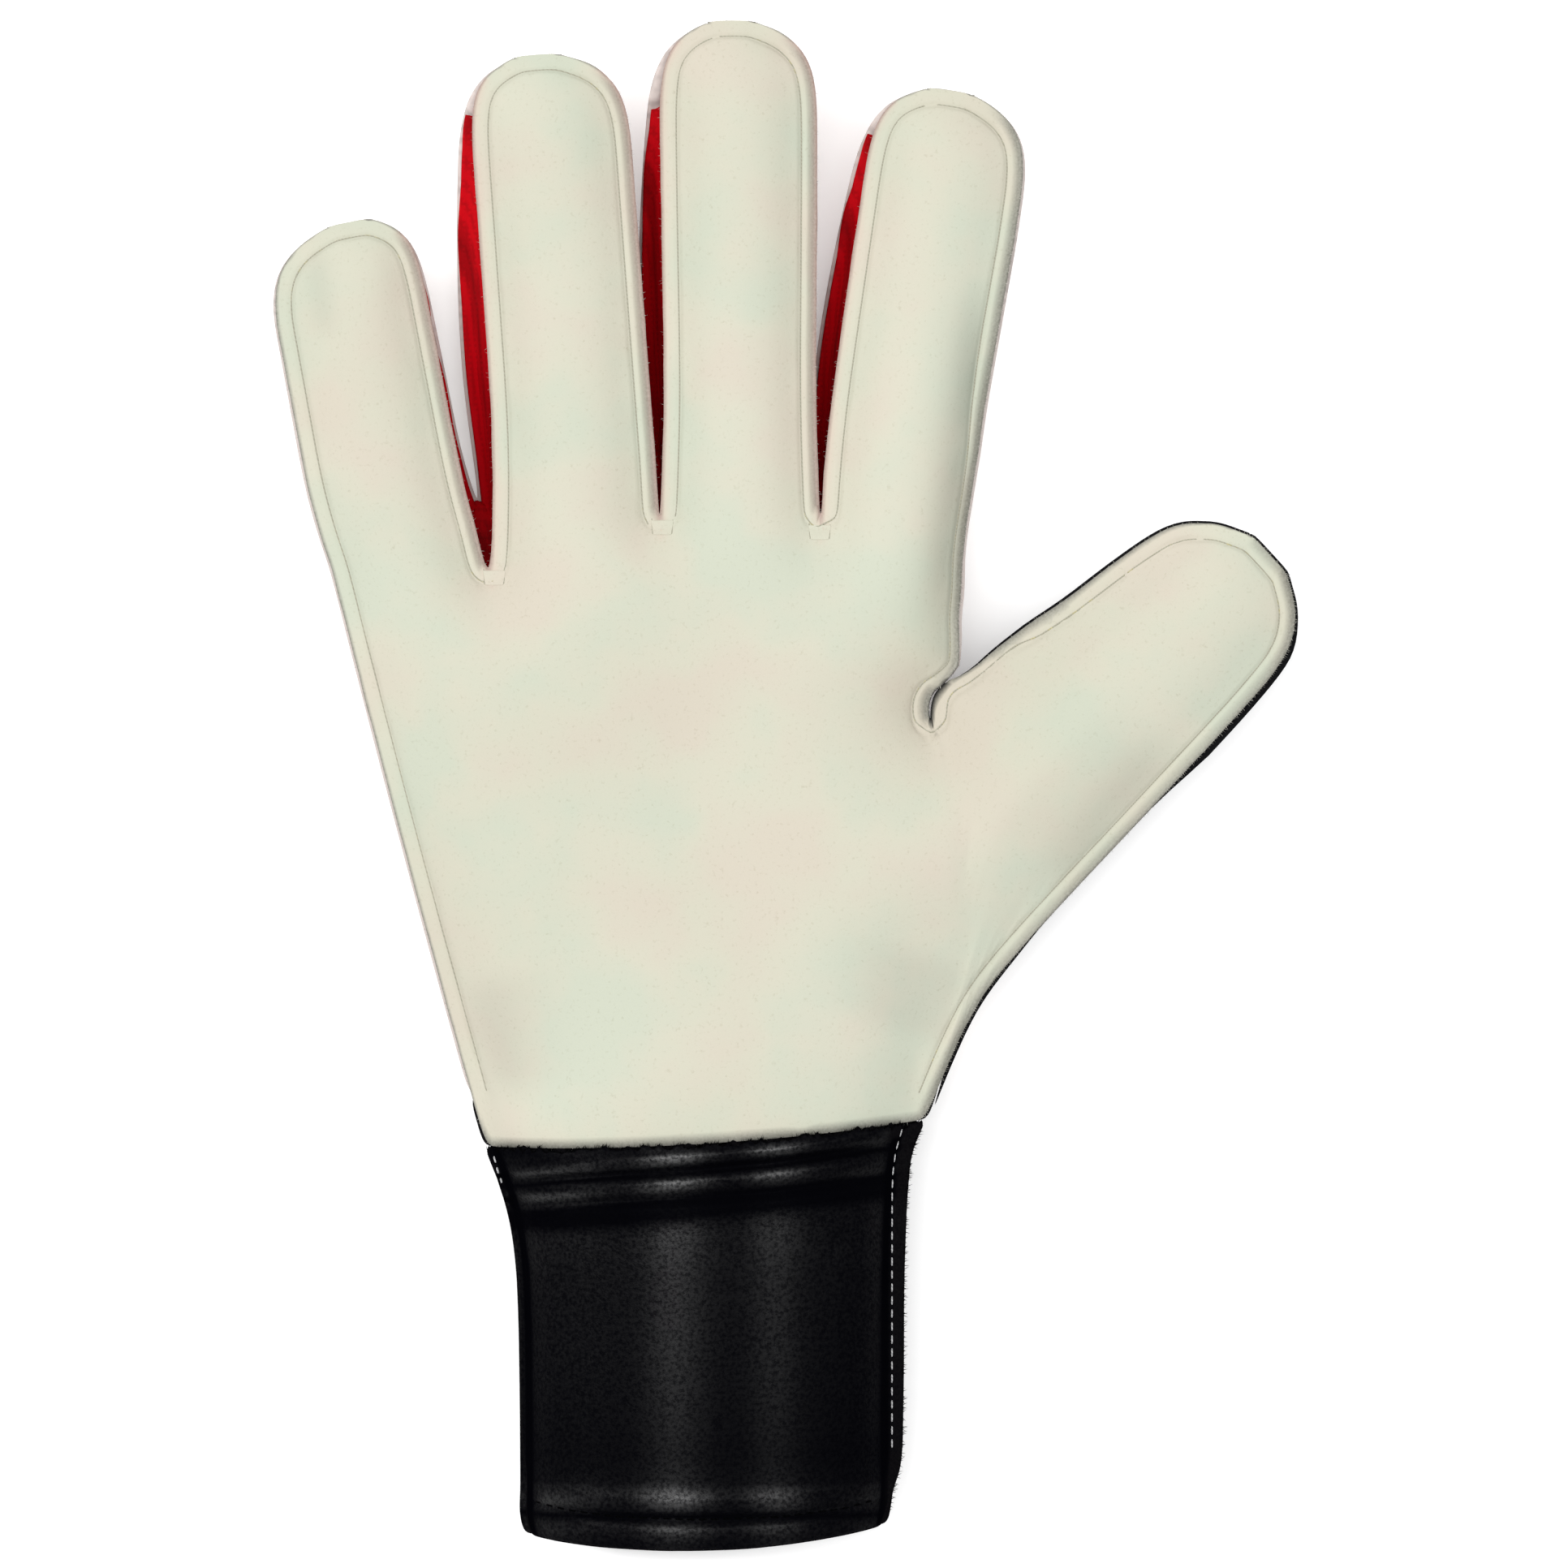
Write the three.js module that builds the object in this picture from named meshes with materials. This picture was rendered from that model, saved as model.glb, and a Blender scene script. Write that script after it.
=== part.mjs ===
// A right-hand goalkeeper glove of the flat cut, lying on its back with the palm up.
// A latex palm in one piece, a backhand in three pieces, three red gussets between the fingers,
// and a wrist cuff of a front and a back panel whose side seams are turned outwards.
// Every panel is a wall, and together they hold the hollow that the hand goes in.
// Millimetres: +X to the thumb, +Y to the fingertips, +Z up from the surface that the glove lies on.
import * as THREE from "three";
import { mergeVertices } from "three/addons/utils/BufferGeometryUtils.js";

// Hand sizes
const fingerWidth = 27.8; // across a flat finger, edge to edge
const fingerLength = 87.7; // the middle finger, from its crotch to its tip
const palmLength = 109; // wrist seam to the crotch between ring and middle finger
const wristWidth = 77.8; // across the hand at the wrist seam
const wristTilt = 2.4; // the wrist seam runs up to the thumb side by this much each way
const wristBow = 1.5; // and it sags by this much in the middle
const thumbLength = 66.5; // thumb crotch to thumb tip
const thumbWidth = 34; // across the thumb where its tip starts to round
const thumbAngle = 42; // degrees, from +X
const thumbCrotchDrop = 31.5; // index root to the foot of the thumb slit
const slitGap = 1; // between the two edges of the thumb slit
const tipRound = 13; // length of the rounded end of a finger

// Walls and seams
const palmWall = 3.5; // latex on foam
const rimWall = 2.6; // the same, pinched beside the seam
const backWall = 2.5;
const backRimWall = 1.8;
const gussetWall = 0.9;
const rimWidth = 2.8; // seam allowance outside the stitch line
const seamGap = 0.3; // between pieces that are sewn together
const edgeProud = 0.5; // the backhand stands out past the palm by this much

// Heights
const flangeRise = 3.5; // backhand edge over the surface, beside a gusset
const gussetHeight = 9.2; // between palm rim and backhand rim at a crotch
const gussetFoldGap = 0.4; // between the two seam allowances of a gusset at its tip
const fingerCrown = 5; // palm side of a finger over its rim
const palmCrown = 11.5;
const thumbCrown = 6.5;
const fingerLift = 3; // fingertips over the surface
const thumbLift = 5;
const backCurve = 10; // width over which the backhand rolls up to its edge on a finger
const handCurve = 20; // the same on the hand
const thumbCurve = 13; // and on the thumb
const webRise = 11; // the backhand's crotches are this much nearer the fingertips
const webShift = 2.2; // and this much nearer the little finger

// Cuff
const cuffLength = 70.3;
const cuffWidth = 63.9; // between the two side seams
const cuffShift = 0.2; // the cuff's middle from the wrist's middle, to the thumb side
const cuffRise = 18; // front panel over the side seam
const cuffCurve = 18; // width over which the back panel rolls up to the side seam
const cuffWall = 1.8;
const cuffProud = 0.8; // cuff over latex at the wrist seam
const hemBow = 2.9; // the cuff's lower edge is longer in the middle
const hemTilt = 0.85; // and rises to the thumb side by this much each way
const flangeWall = 1.2; // seam allowance of the two side seams
const leftFlange = 1.3;
const rightFlange = 3.4;
const yokeLength = 9; // black strip of the backhand above the wrist seam

// One row a finger. length is from the knuckle line, as a share of fingerLength, and lean in degrees to the
// thumb. root, middle and tip are widths and axis and skew are shifts, all as shares of fingerWidth.
// moveLeft and moveRight are how far the backhand's edges lean to +X, as shares of gussetHeight.
const fingers = [
  {
    name: "little", length: 0.6, lean: -10.6, root: 1.007, middle: 0.98, tip: 0.97,
    axis: -0.132, skew: 0.09, moveLeft: 0, moveRight: 0.05,
  },
  {
    name: "ring", length: 0.935, lean: -4.2, root: 1.079, middle: 1.02, tip: 1.01,
    axis: 0.027, skew: -0.05, moveLeft: -0.54, moveRight: -0.3,
  },
  {
    name: "middle", length: 1, lean: -0.3, root: 1.023, middle: 0.955, tip: 1,
    axis: 0.004, skew: -0.04, moveLeft: -0.5, moveRight: -0.3,
  },
  {
    name: "index", length: 0.867, lean: 8.5, root: 0.951, middle: 0.995, tip: 1.005,
    axis: -0.014, skew: -0.04, moveLeft: -0.42, moveRight: 0,
  },
];
// Root of each finger edge down from the knuckle line, as shares of palmLength, little finger side first
const rootDrops = [0.0845, 0.0845, 0, 0.012, 0.048];
const ulnarReach = 0.586; // share of the hand's width on the little finger's side of the wrist's middle

// The thumb slit from the index root to its foot, and on from there, as shares of thumbCrotchDrop
const slitShares = { foot: { x: -0.22, y: -1 }, knee: { x: -0.005, y: 0.16 }, mouth: { x: 0.135, y: 0.3 } };
// The thumb's axis starts beside the slit's foot, as shares of thumbLength and thumbWidth
const thumbStart = { along: 0.16, out: 0.51 };
const thumbReach = 0.835; // from there to the tip, as a share of thumbLength
const thumbRound = 0.5; // length of the thumb's rounded end, as a share of thumbWidth
// Thumb edges, along as a share of thumbLength and out from the axis as a share of thumbWidth
const thumbUpper = [{ along: 0.3, out: -0.545 }];
const thumbLower = [
  { along: -0.63, out: 0.775 },
  { along: -0.42, out: 0.675 },
  { along: 0.05, out: 0.595 },
];
// How far edges bow out, as shares of palmLength or, beside the index finger, of thumbCrotchDrop
const edgeBows = { ulnar: 0.004, thumbRoot: -0.055, index: -0.035 };

// Soft forms of the palm: x as a share of wristWidth, y and spread of palmLength, height of palmCrown
const mounds = [
  { name: "thumb ball", x: 0.47, y: 0.42, spread: 0.24, height: 0.2 },
  { name: "heel", x: -0.36, y: 0.3, spread: 0.26, height: 0.12 },
  { name: "hollow", x: 0.04, y: 0.62, spread: 0.24, height: -0.2 },
];

// Cuff sections from the wrist seam down. at is a share of cuffLength, left and right are shares of the way
// from the wrist's width to the cuff's own, rise is a share of cuffRise, flange of rightFlange, and proud
// of cuffWall for hems and grooves.
const cuffSections = [
  { at: 0, left: 0, right: 0, rise: 1, flange: 1, proud: 0 },
  { at: 0.022, left: 0.06, right: 0.22, rise: 1, flange: 1, proud: 0.25 },
  { at: 0.046, left: 0.18, right: 0.42, rise: 1, flange: 0.96, proud: -0.2 },
  { at: 0.072, left: 0.3, right: 0.58, rise: 0.99, flange: 0.92, proud: 0.25 },
  { at: 0.1, left: 0.4, right: 0.68, rise: 0.98, flange: 0.88, proud: -0.2 },
  { at: 0.13, left: 0.52, right: 0.75, rise: 0.96, flange: 0.88, proud: 0.05 },
  { at: 0.2, left: 0.74, right: 0.85, rise: 0.93, flange: 0.88, proud: -0.1 },
  { at: 0.3, left: 0.9, right: 0.93, rise: 0.92, flange: 0.86, proud: 0 },
  { at: 0.46, left: 1, right: 0.98, rise: 0.93, flange: 0.84, proud: 0 },
  { at: 0.7, left: 1, right: 1, rise: 0.95, flange: 0.84, proud: 0 },
  { at: 0.86, left: 1.02, right: 1, rise: 0.97, flange: 0.78, proud: 0.25 },
  { at: 0.905, left: 1, right: 1, rise: 0.96, flange: 0.3, proud: -0.25 },
  { at: 0.945, left: 0.98, right: 1.04, rise: 0.96, flange: 0.26, proud: 0.25 },
  { at: 1, left: 1.12, right: 1.25, rise: 0.93, flange: 0.26, proud: 0 },
];

// Where the soft forms fade into each other
const liftStart = 0.92; // fingers start to rise off the surface, as a share of palmLength
const palmFade = 0.45; // finger crown to palm crown, as a share of palmLength
const wristFade = 0.4; // palm crown to the cuff's arch, as a share of palmLength
const backFade = 0.3; // finger to hand on the backhand, as a share of palmLength
const palmReach = 0.42; // the palm's edge to its full height, as a share of wristWidth
const crownPower = 0.75;
const thumbFade = { root: 0.48, from: 0.65, to: 0.95 }; // root of thumbTip, from and to of thumbWidth
const webSwell = { root: 0.25, tip: 0.95 }; // shift of the backhand's edges, on the way through a half wave

// Mesh steps, and shares along an edge
const fingerRows = 9;
const capAngles = [0.25, 0.48, 0.7, 0.87, 1]; // rows of the rounded tip, as shares of a quarter turn
const tipFlat = 0.35; // flat end of a fingertip, as a share of its width
const tipPower = 2.3;
const rootBlend = 0.42; // share of a finger's edge that bends to its root
const slitRows = 5;
const palmRows = 9;
const slitShare = 0.33; // share of the little finger's side that lies opposite the slit
const thumbRows = 8;
const thumbSwell = 2; // how far the rows at the thumb's root bend out towards its tip
const cuffColumns = 14;
const capReach = 0.84; // where a finger's rounded tip starts, on the way from crotch to tip
const gussetReach = 0.92; // and where a gusset ends
const gussetTaper = 0.45; // and where it starts to get lower
const gussetSteps = 9;
const fanSteps = 4; // round a crotch
const handSteps = 12; // on an outer edge of the hand
const fingerColumns = [0.28, 0.5, 0.72]; // between the two stitch lines of a finger
const widestRim = 0.25; // most of a finger's width that one rim takes

const { clamp, lerp, degToRad, smoothstep } = THREE.MathUtils;
const smooth = (t) => smoothstep(t, 0, 1);
const point = (x, y) => new THREE.Vector2(x, y);
const between = (p, q, t) => p.clone().lerp(q, t);
const moved = (p, direction, distance) => p.clone().addScaledVector(direction, distance);
const steps = (from, to, count) => Array.from({ length: count + 1 }, (_, i) => lerp(from, to, i / count));

// A frame with its own along and across axes, for a finger or the thumb
function frameAt(origin, along) {
  const across = point(along.y, -along.x);
  return {
    at: (a, c) => moved(moved(origin, along, a), across, c),
    local: (p) => ({ a: p.clone().sub(origin).dot(along), c: p.clone().sub(origin).dot(across) }),
  };
}

// A straight line that bows out to its right by a length
function bowed(p, q, bow, t) {
  const side = point(q.y - p.y, p.x - q.x).normalize();
  return moved(between(p, q, t), side, bow * 4 * t * (1 - t));
}

// Roots of the finger edges: the two outer ones, and the three crotches between them
const rootShares = fingers.map((f) => f.root);
const handWidth = fingerWidth * rootShares.reduce((a, b) => a + b);
const rootPoints = rootDrops.map((drop, i) => {
  const before = rootShares.slice(0, i).reduce((a, b) => a + b, 0);
  return point(fingerWidth * before - ulnarReach * handWidth, palmLength * (1 - drop));
});
const wristLeft = point(-wristWidth / 2, -wristTilt);
const wristRight = point(wristWidth / 2, wristTilt);

// The thumb slit runs from its mouth beside the index finger, round a knee, to its foot
const fromSlit = (origin, share) =>
  origin.clone().add(point(share.x, share.y).multiplyScalar(thumbCrotchDrop));
const slitFoot = fromSlit(rootPoints[4], slitShares.foot);
const slitKnee = fromSlit(slitFoot, slitShares.knee);
const slitMouth = fromSlit(slitFoot, slitShares.mouth);
const thumbTurn = degToRad(thumbAngle);
const thumbAlong = point(Math.cos(thumbTurn), Math.sin(thumbTurn));
const thumbOrigin = frameAt(slitFoot, thumbAlong).at(
  thumbStart.along * thumbLength,
  thumbStart.out * thumbWidth,
);
const thumbFrame = frameAt(thumbOrigin, thumbAlong);
const thumbTip = thumbReach * thumbLength;
const thumbCap = thumbRound * thumbWidth;

// A rounded tip: how far along it, and how wide, at a share of its quarter turn
function tipShape(angle) {
  if (angle >= 1) return { along: 1, wide: tipFlat };
  const turn = (angle * Math.PI) / 2;
  return { along: Math.sin(turn) ** (2 / tipPower), wide: Math.cos(turn) ** (2 / tipPower) };
}

// Both edges of one finger. proud is how far each edge stands out, and lean moves the backhand's edges.
function fingerEdge(k, roots, proud, isBack) {
  const f = fingers[k];
  const length = f.length * fingerLength;
  const capStart = length - tipRound;
  const turn = degToRad(f.lean);
  const middle = (rootPoints[k].x + rootPoints[k + 1].x) / 2 + f.axis * fingerWidth;
  const frame = frameAt(point(middle, palmLength), point(Math.sin(turn), Math.cos(turn)));
  const outer = { left: k === 0 ? -proud : 0, right: k === fingers.length - 1 ? proud : 0 };
  const move = (side, share) => {
    if (!isBack) return 0;
    const own = side < 0 ? f.moveLeft : f.moveRight;
    const out = side < 0 ? outer.left : outer.right;
    const swell = Math.sin(Math.PI * clamp(lerp(webSwell.root, webSwell.tip, share), 0, 1));
    return own * gussetHeight * swell + out;
  };
  const edge = (side, t) => {
    const root = frame.local(roots[side < 0 ? k : k + 1]);
    const a = lerp(root.a, capStart, t);
    const width = fingerWidth * lerp(f.middle, f.tip, smooth(a / capStart));
    const c = (side * width) / 2 + move(side, a / length);
    return frame.at(a, lerp(c, root.c, Math.max(0, 1 - t / rootBlend) ** 2));
  };
  const cap = (side, angle) => {
    const { along, wide } = tipShape(angle);
    const a = capStart + tipRound * along;
    const skew = f.skew * fingerWidth * along ** 2;
    const half = (fingerWidth * f.tip * wide) / 2;
    return frame.at(a, side * half + skew + move(side, a / length) * (1 - angle));
  };
  return { edge, cap };
}

// The two flat layouts: the palm's own, and the backhand's with its edges and crotches moved
function handLayout(isBack) {
  const proud = isBack ? edgeProud : 0;
  const web = isBack ? point(-webShift, webRise) : point(0, 0);
  const last = rootPoints.length - 1;
  const roots = rootPoints.map((p, i) => {
    if (i === 0) return moved(p, point(-1, 0), proud);
    if (i === last) return moved(p, point(1, 0), proud);
    return p.clone().add(web);
  });
  const fingerEdges = fingers.map((f, k) => fingerEdge(k, roots, proud, isBack));

  // Thumb edges from the slit's foot or the wrist to the start of the rounded tip, through few points
  const slitHalf = isBack ? seamGap : slitGap / 2;
  const onThumb = (place) =>
    thumbFrame.at(place.along * thumbLength, place.out * thumbWidth + Math.sign(place.out) * proud);
  const thumbSide = (side) => thumbFrame.at(thumbTip - thumbCap, side * (thumbWidth / 2 + proud));
  const besideIndex = bowed(roots[last], slitMouth, edgeBows.index * thumbCrotchDrop, 0.5);
  const radial = new THREE.SplineCurve([
    roots[last],
    moved(besideIndex, point(1, 0), proud),
    moved(slitMouth, point(-1, 0), slitHalf),
    moved(slitKnee, point(-1, 1), slitHalf),
    slitFoot,
  ]);
  const upper = new THREE.SplineCurve([
    slitFoot,
    moved(slitKnee, point(1, 0), slitHalf),
    moved(slitMouth, point(1, -1), slitHalf),
    ...thumbUpper.map(onThumb),
    thumbSide(-1),
  ]);
  const lower = new THREE.SplineCurve([
    moved(wristRight, point(1, 0), proud),
    ...thumbLower.map(onThumb),
    thumbSide(1),
  ]);
  const thumbCapAt = (side, angle) => {
    const { along, wide } = tipShape(angle);
    const out = side * (thumbWidth / 2 + proud) * wide;
    return thumbFrame.at(thumbTip - thumbCap + (thumbCap + proud) * along, out);
  };
  const rootLine = (t) => bowed(slitFoot, lower.getPoint(0), edgeBows.thumbRoot * palmLength, t);
  const ulnar = (t) =>
    bowed(roots[0], moved(wristLeft, point(-1, 0), proud), edgeBows.ulnar * palmLength, t);
  const wrist = (t) => bowed(ulnar(1), rootLine(1), wristBow, t);
  return { roots, fingerEdges, radial, upper, lower, thumbCapAt, rootLine, ulnar, wrist };
}

// Where the columns of a finger lie between its edges: rim, stitch line and a few between
function crossShares(width) {
  const rim = rimWidth / width;
  return [0, Math.min(rim, widestRim), ...fingerColumns, Math.max(1 - rim, 1 - widestRim), 1];
}

// Rows of a finger: its straight part from the root, then its rounded tip
function fingerGrid(finger) {
  const sides = [
    ...steps(0, 1, fingerRows).map((t) => [finger.edge(-1, t), finger.edge(1, t)]),
    ...capAngles.map((angle) => [finger.cap(-1, angle), finger.cap(1, angle)]),
  ];
  return sides.map(([l, r]) => crossShares(l.distanceTo(r)).map((u) => between(l, r, u)));
}

// The palm of the hand: a patch blended between finger roots, wrist seam and both side edges
function bodyGrid(layout, fingerGrids, rowShares) {
  const top = fingerGrids.flatMap((grid, k) => (k === 0 ? grid[0] : grid[0].slice(1)));
  const last = top.at(-1);
  const lengths = top.map((p, i) => (i ? p.distanceTo(top[i - 1]) : 0));
  const total = lengths.reduce((a, b) => a + b);
  let run = 0;
  const shares = lengths.map((d) => (run += d) / total);
  const split = slitRows / (slitRows + palmRows);
  const rightAt = (v) =>
    v < split ? layout.radial.getPoint(v / split) : layout.rootLine((v - split) / (1 - split));
  const leftAt = (v) =>
    layout.ulnar(v < split ? (slitShare * v) / split : lerp(slitShare, 1, (v - split) / (1 - split)));
  const blend = (p, u, v) =>
    point(0, 0)
      .addScaledVector(p, 1 - v)
      .addScaledVector(layout.wrist(u), v)
      .addScaledVector(leftAt(v), 1 - u)
      .addScaledVector(rightAt(v), u)
      .addScaledVector(top[0], -(1 - u) * (1 - v))
      .addScaledVector(last, -u * (1 - v))
      .addScaledVector(leftAt(1), -(1 - u) * v)
      .addScaledVector(rightAt(1), -u * v);
  return rowShares.map((v) => top.map((p, i) => (v === 0 ? p : blend(p, shares[i], v))));
}
const bodyRows = steps(0, 1, slitRows + palmRows);

// The thumb grows from the hand's right-hand edge below the slit, or a gap away from it
function thumbGrid(layout, gap) {
  const foot = layout.rootLine(0);
  const heel = layout.rootLine(1);
  const straight = steps(0, 1, thumbRows);
  const grown = straight.map((t) =>
    steps(0, 1, palmRows).map((share) => {
      const bulge = layout.rootLine(share).sub(between(foot, heel, share)).add(point(gap, 0));
      const ahead = t + thumbSwell * 4 * share * (1 - share) * t * (1 - t) ** 2;
      const across = between(layout.upper.getPoint(ahead), layout.lower.getPoint(ahead), share);
      return moved(across, bulge, 1 - t);
    }),
  );
  const cap = capAngles.map((angle) => {
    const [u, l] = [layout.thumbCapAt(-1, angle), layout.thumbCapAt(1, angle)];
    return steps(0, 1, palmRows).map((share) => between(u, l, share));
  });
  return [...grown, ...cap];
}

// The outline of a layout as a polyline. web is 1 on an edge that has a gusset, and reach runs from
// its crotch (0) to its fingertip (1).
function outlineOf(layout) {
  const list = [];
  const add = (p, web, reach) => list.push({ p, web, reach });
  const edgeSteps = steps(0, 1, fingerRows * 2);
  const outerSteps = steps(0, 1, handSteps);
  const thumbSteps = steps(0, 1, thumbRows * 2);
  [...outerSteps].reverse().forEach((t) => add(layout.ulnar(t), 0, 0));
  layout.fingerEdges.forEach((finger, k) => {
    const leftWeb = k > 0 ? 1 : 0;
    const rightWeb = k < fingers.length - 1 ? 1 : 0;
    edgeSteps.forEach((t) => add(finger.edge(-1, t), leftWeb, capReach * t));
    const addCap = (side, angle, web) => add(finger.cap(side, angle), web, lerp(capReach, 1, angle));
    capAngles.forEach((angle) => addCap(-1, angle, leftWeb));
    [...capAngles].reverse().forEach((angle) => addCap(1, angle, rightWeb));
    [...edgeSteps].reverse().forEach((t) => add(finger.edge(1, t), rightWeb, capReach * t));
  });
  outerSteps.forEach((t) => add(layout.radial.getPoint(t), 0, 0));
  thumbSteps.forEach((t) => add(layout.upper.getPoint(t), 0, 0));
  capAngles.forEach((angle) => add(layout.thumbCapAt(-1, angle), 0, 0));
  [...capAngles].reverse().forEach((angle) => add(layout.thumbCapAt(1, angle), 0, 0));
  [...thumbSteps].reverse().forEach((t) => add(layout.lower.getPoint(t), 0, 0));
  const below = (place) => ({ ...place, p: moved(place.p, point(0, -1), cuffLength) });
  return [below(list[0]), ...list, below(list.at(-1))];
}

// Clear height of the seam at a place on the outline: open beside a gusset, closed elsewhere
const gussetEnd = 2 * gussetWall + 2 * seamGap + gussetFoldGap;
function seamHeight({ web, reach }) {
  if (!web) return seamGap;
  if (reach > gussetReach) return lerp(gussetEnd, seamGap, (reach - gussetReach) / (1 - gussetReach));
  return lerp(gussetHeight, gussetEnd, smooth((reach - gussetTaper) / (gussetReach - gussetTaper)));
}

// Nearest place on an outline: its distance, and the clear height of the seam there
function nearest(outline, p) {
  let best = { d: Infinity };
  for (let i = 1; i < outline.length; i++) {
    const a = outline[i - 1];
    const b = outline[i];
    const run = b.p.clone().sub(a.p);
    const length2 = run.lengthSq();
    const t = length2 ? clamp(p.clone().sub(a.p).dot(run) / length2, 0, 1) : 0;
    const d = p.distanceTo(between(a.p, b.p, t));
    if (d < best.d) best = { d, height: lerp(seamHeight(a), seamHeight(b), t) };
  }
  return best;
}

// Heights that all panels share: top of the palm's rim, its underside, and the seam's middle
const rimTop = flangeRise + backRimWall + gussetHeight + rimWall;
const rimBottom = rimTop - rimWall;
const seamPlane = rimBottom - seamGap / 2;

// How far a place is along the thumb, and how much it belongs to it
function thumbShare(p) {
  const { a, c } = thumbFrame.local(p);
  const beside = -c / thumbWidth;
  const inside = 1 - smoothstep(beside, thumbFade.from, thumbFade.to);
  return { along: clamp(a / thumbTip, 0, 1) * inside, on: smooth(a / (thumbFade.root * thumbTip)) * inside };
}
// Fingers and thumb rise gently off the surface
function lift(p) {
  const up = Math.max(0, (p.y - liftStart * palmLength) / fingerLength);
  return fingerLift * up ** 2 + thumbLift * thumbShare(p).along ** 2;
}

// Tube sides, flange, height and hem of a cuff section
function cuffSides(section) {
  const left = lerp(-wristWidth / 2 + leftFlange, cuffShift - cuffWidth / 2, section.left);
  const right = lerp(wristWidth / 2 - rightFlange, cuffShift + cuffWidth / 2, section.right);
  return {
    middle: (left + right) / 2,
    half: (right - left) / 2,
    flange: rightFlange * section.flange,
    rise: cuffRise * section.rise,
    proud: cuffWall * section.proud,
  };
}
// Height of the cuff's front over its side seams, as a share, across it from -1 to 1
const archPower = 2.3;
const arch = (u) => (1 - Math.min(1, Math.abs(u)) ** archPower) ** (1 / archPower);

// Top face of the palm
function palmTop(p) {
  const { d } = nearest(palmOutline, p);
  if (d < rimWidth) return rimTop + lift(p);
  const thumb = thumbShare(p).on;
  const palm = smooth((palmLength - p.y) / (palmFade * palmLength));
  const crown = lerp(lerp(fingerCrown, palmCrown, palm), thumbCrown, thumb);
  const fingerHalf = fingerWidth / 2 - rimWidth;
  const reach = lerp(lerp(fingerHalf, palmReach * wristWidth, palm), thumbWidth / 2 - rimWidth, thumb);
  const q = clamp((d - rimWidth) / reach, 0, 1);
  const domed = crown * (1 - (1 - q) ** 2) ** crownPower;
  const mounded = mounds.reduce((sum, m) => {
    const away = Math.hypot(p.x - m.x * wristWidth, p.y - m.y * palmLength) / (m.spread * palmLength);
    return sum + m.height * palmCrown * Math.exp(-2 * away ** 2) * q;
  }, domed);
  const { middle, half, rise } = cuffSides(cuffSections[0]);
  const wristRise = Math.max(0, seamPlane + rise * arch((p.x - middle) / half) - cuffProud - rimTop);
  const wrist = smooth(1 - p.y / (wristFade * palmLength)) * (1 - thumb);
  return rimTop + lift(p) + lerp(mounded, wristRise, wrist);
}

// Top of the backhand's seam allowance, and its bottom face
const flangeTop = (p) => rimBottom + lift(p) - nearest(backOutline, p).height;
function backBottom(p) {
  const { d, height } = nearest(backOutline, p);
  const flange = rimBottom - height - backRimWall;
  const hand = smooth((palmLength - p.y) / (backFade * palmLength));
  const curve = lerp(lerp(backCurve, handCurve, hand), thumbCurve, thumbShare(p).on);
  const q = clamp((d - rimWidth) / curve, 0, 1);
  return lift(p) + flange * (1 - q) ** 2;
}

// Wall thickness measured along z, so that it stays even on a slope
const steepest = 1.5;
const probe = 0.4; // half the distance over which a slope is taken
function alongZ(surface, p, wall) {
  const dx = surface(point(p.x + probe, p.y)) - surface(point(p.x - probe, p.y));
  const dy = surface(point(p.x, p.y + probe)) - surface(point(p.x, p.y - probe));
  return wall * Math.min(steepest, Math.hypot(1, dx / (2 * probe), dy / (2 * probe)));
}

// A closed wall between an outer and an inner layer of quads. A cell corner is { outer, inner }, grids
// share their border points, and free borders are closed with side faces.
const weld = 1e-3;
function wallMesh(name, grids, material) {
  const points = [];
  const index = new Map();
  const id = (v) => {
    const key = v.toArray().map((n) => Math.round(n / weld)).join();
    if (!index.has(key)) index.set(key, points.push(v) - 1);
    return index.get(key);
  };
  const faces = [];
  const borders = new Map();
  const addCell = (cell) => {
    const out = cell.map((c) => id(c.outer));
    const inn = cell.map((c) => id(c.inner));
    faces.push([out[0], out[1], out[2]], [out[0], out[2], out[3]]);
    faces.push([inn[0], inn[2], inn[1]], [inn[0], inn[3], inn[2]]);
    out.forEach((a, n) => {
      const next = (n + 1) % 4;
      const twin = `${out[next]},${a}`;
      if (borders.has(twin)) borders.delete(twin);
      else borders.set(`${a},${out[next]}`, [a, out[next], inn[n], inn[next]]);
    });
  };
  grids.forEach((grid) => {
    for (let j = 1; j < grid.length; j++) {
      for (let i = 1; i < grid[j].length; i++) {
        addCell([grid[j - 1][i - 1], grid[j - 1][i], grid[j][i], grid[j][i - 1]]);
      }
    }
  });
  borders.forEach(([a, b, c, d]) => faces.push([a, d, b], [a, c, d]));
  const volume = faces.reduce((sum, [a, b, c]) => {
    return sum + points[a].dot(new THREE.Vector3().crossVectors(points[b], points[c]));
  }, 0);
  const whole = faces.filter(([a, b, c]) => a !== b && b !== c && a !== c);
  const geometry = new THREE.BufferGeometry();
  geometry.setAttribute("position", new THREE.Float32BufferAttribute(points.flatMap((v) => v.toArray()), 3));
  geometry.setIndex(whole.flatMap(([a, b, c]) => (volume < 0 ? [a, c, b] : [a, b, c])));
  const merged = mergeVertices(geometry, weld);
  merged.computeVertexNormals();
  const mesh = new THREE.Mesh(merged, material);
  mesh.name = name;
  return mesh;
}
const raise = (p, z) => new THREE.Vector3(p.x, p.y, z);

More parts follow.
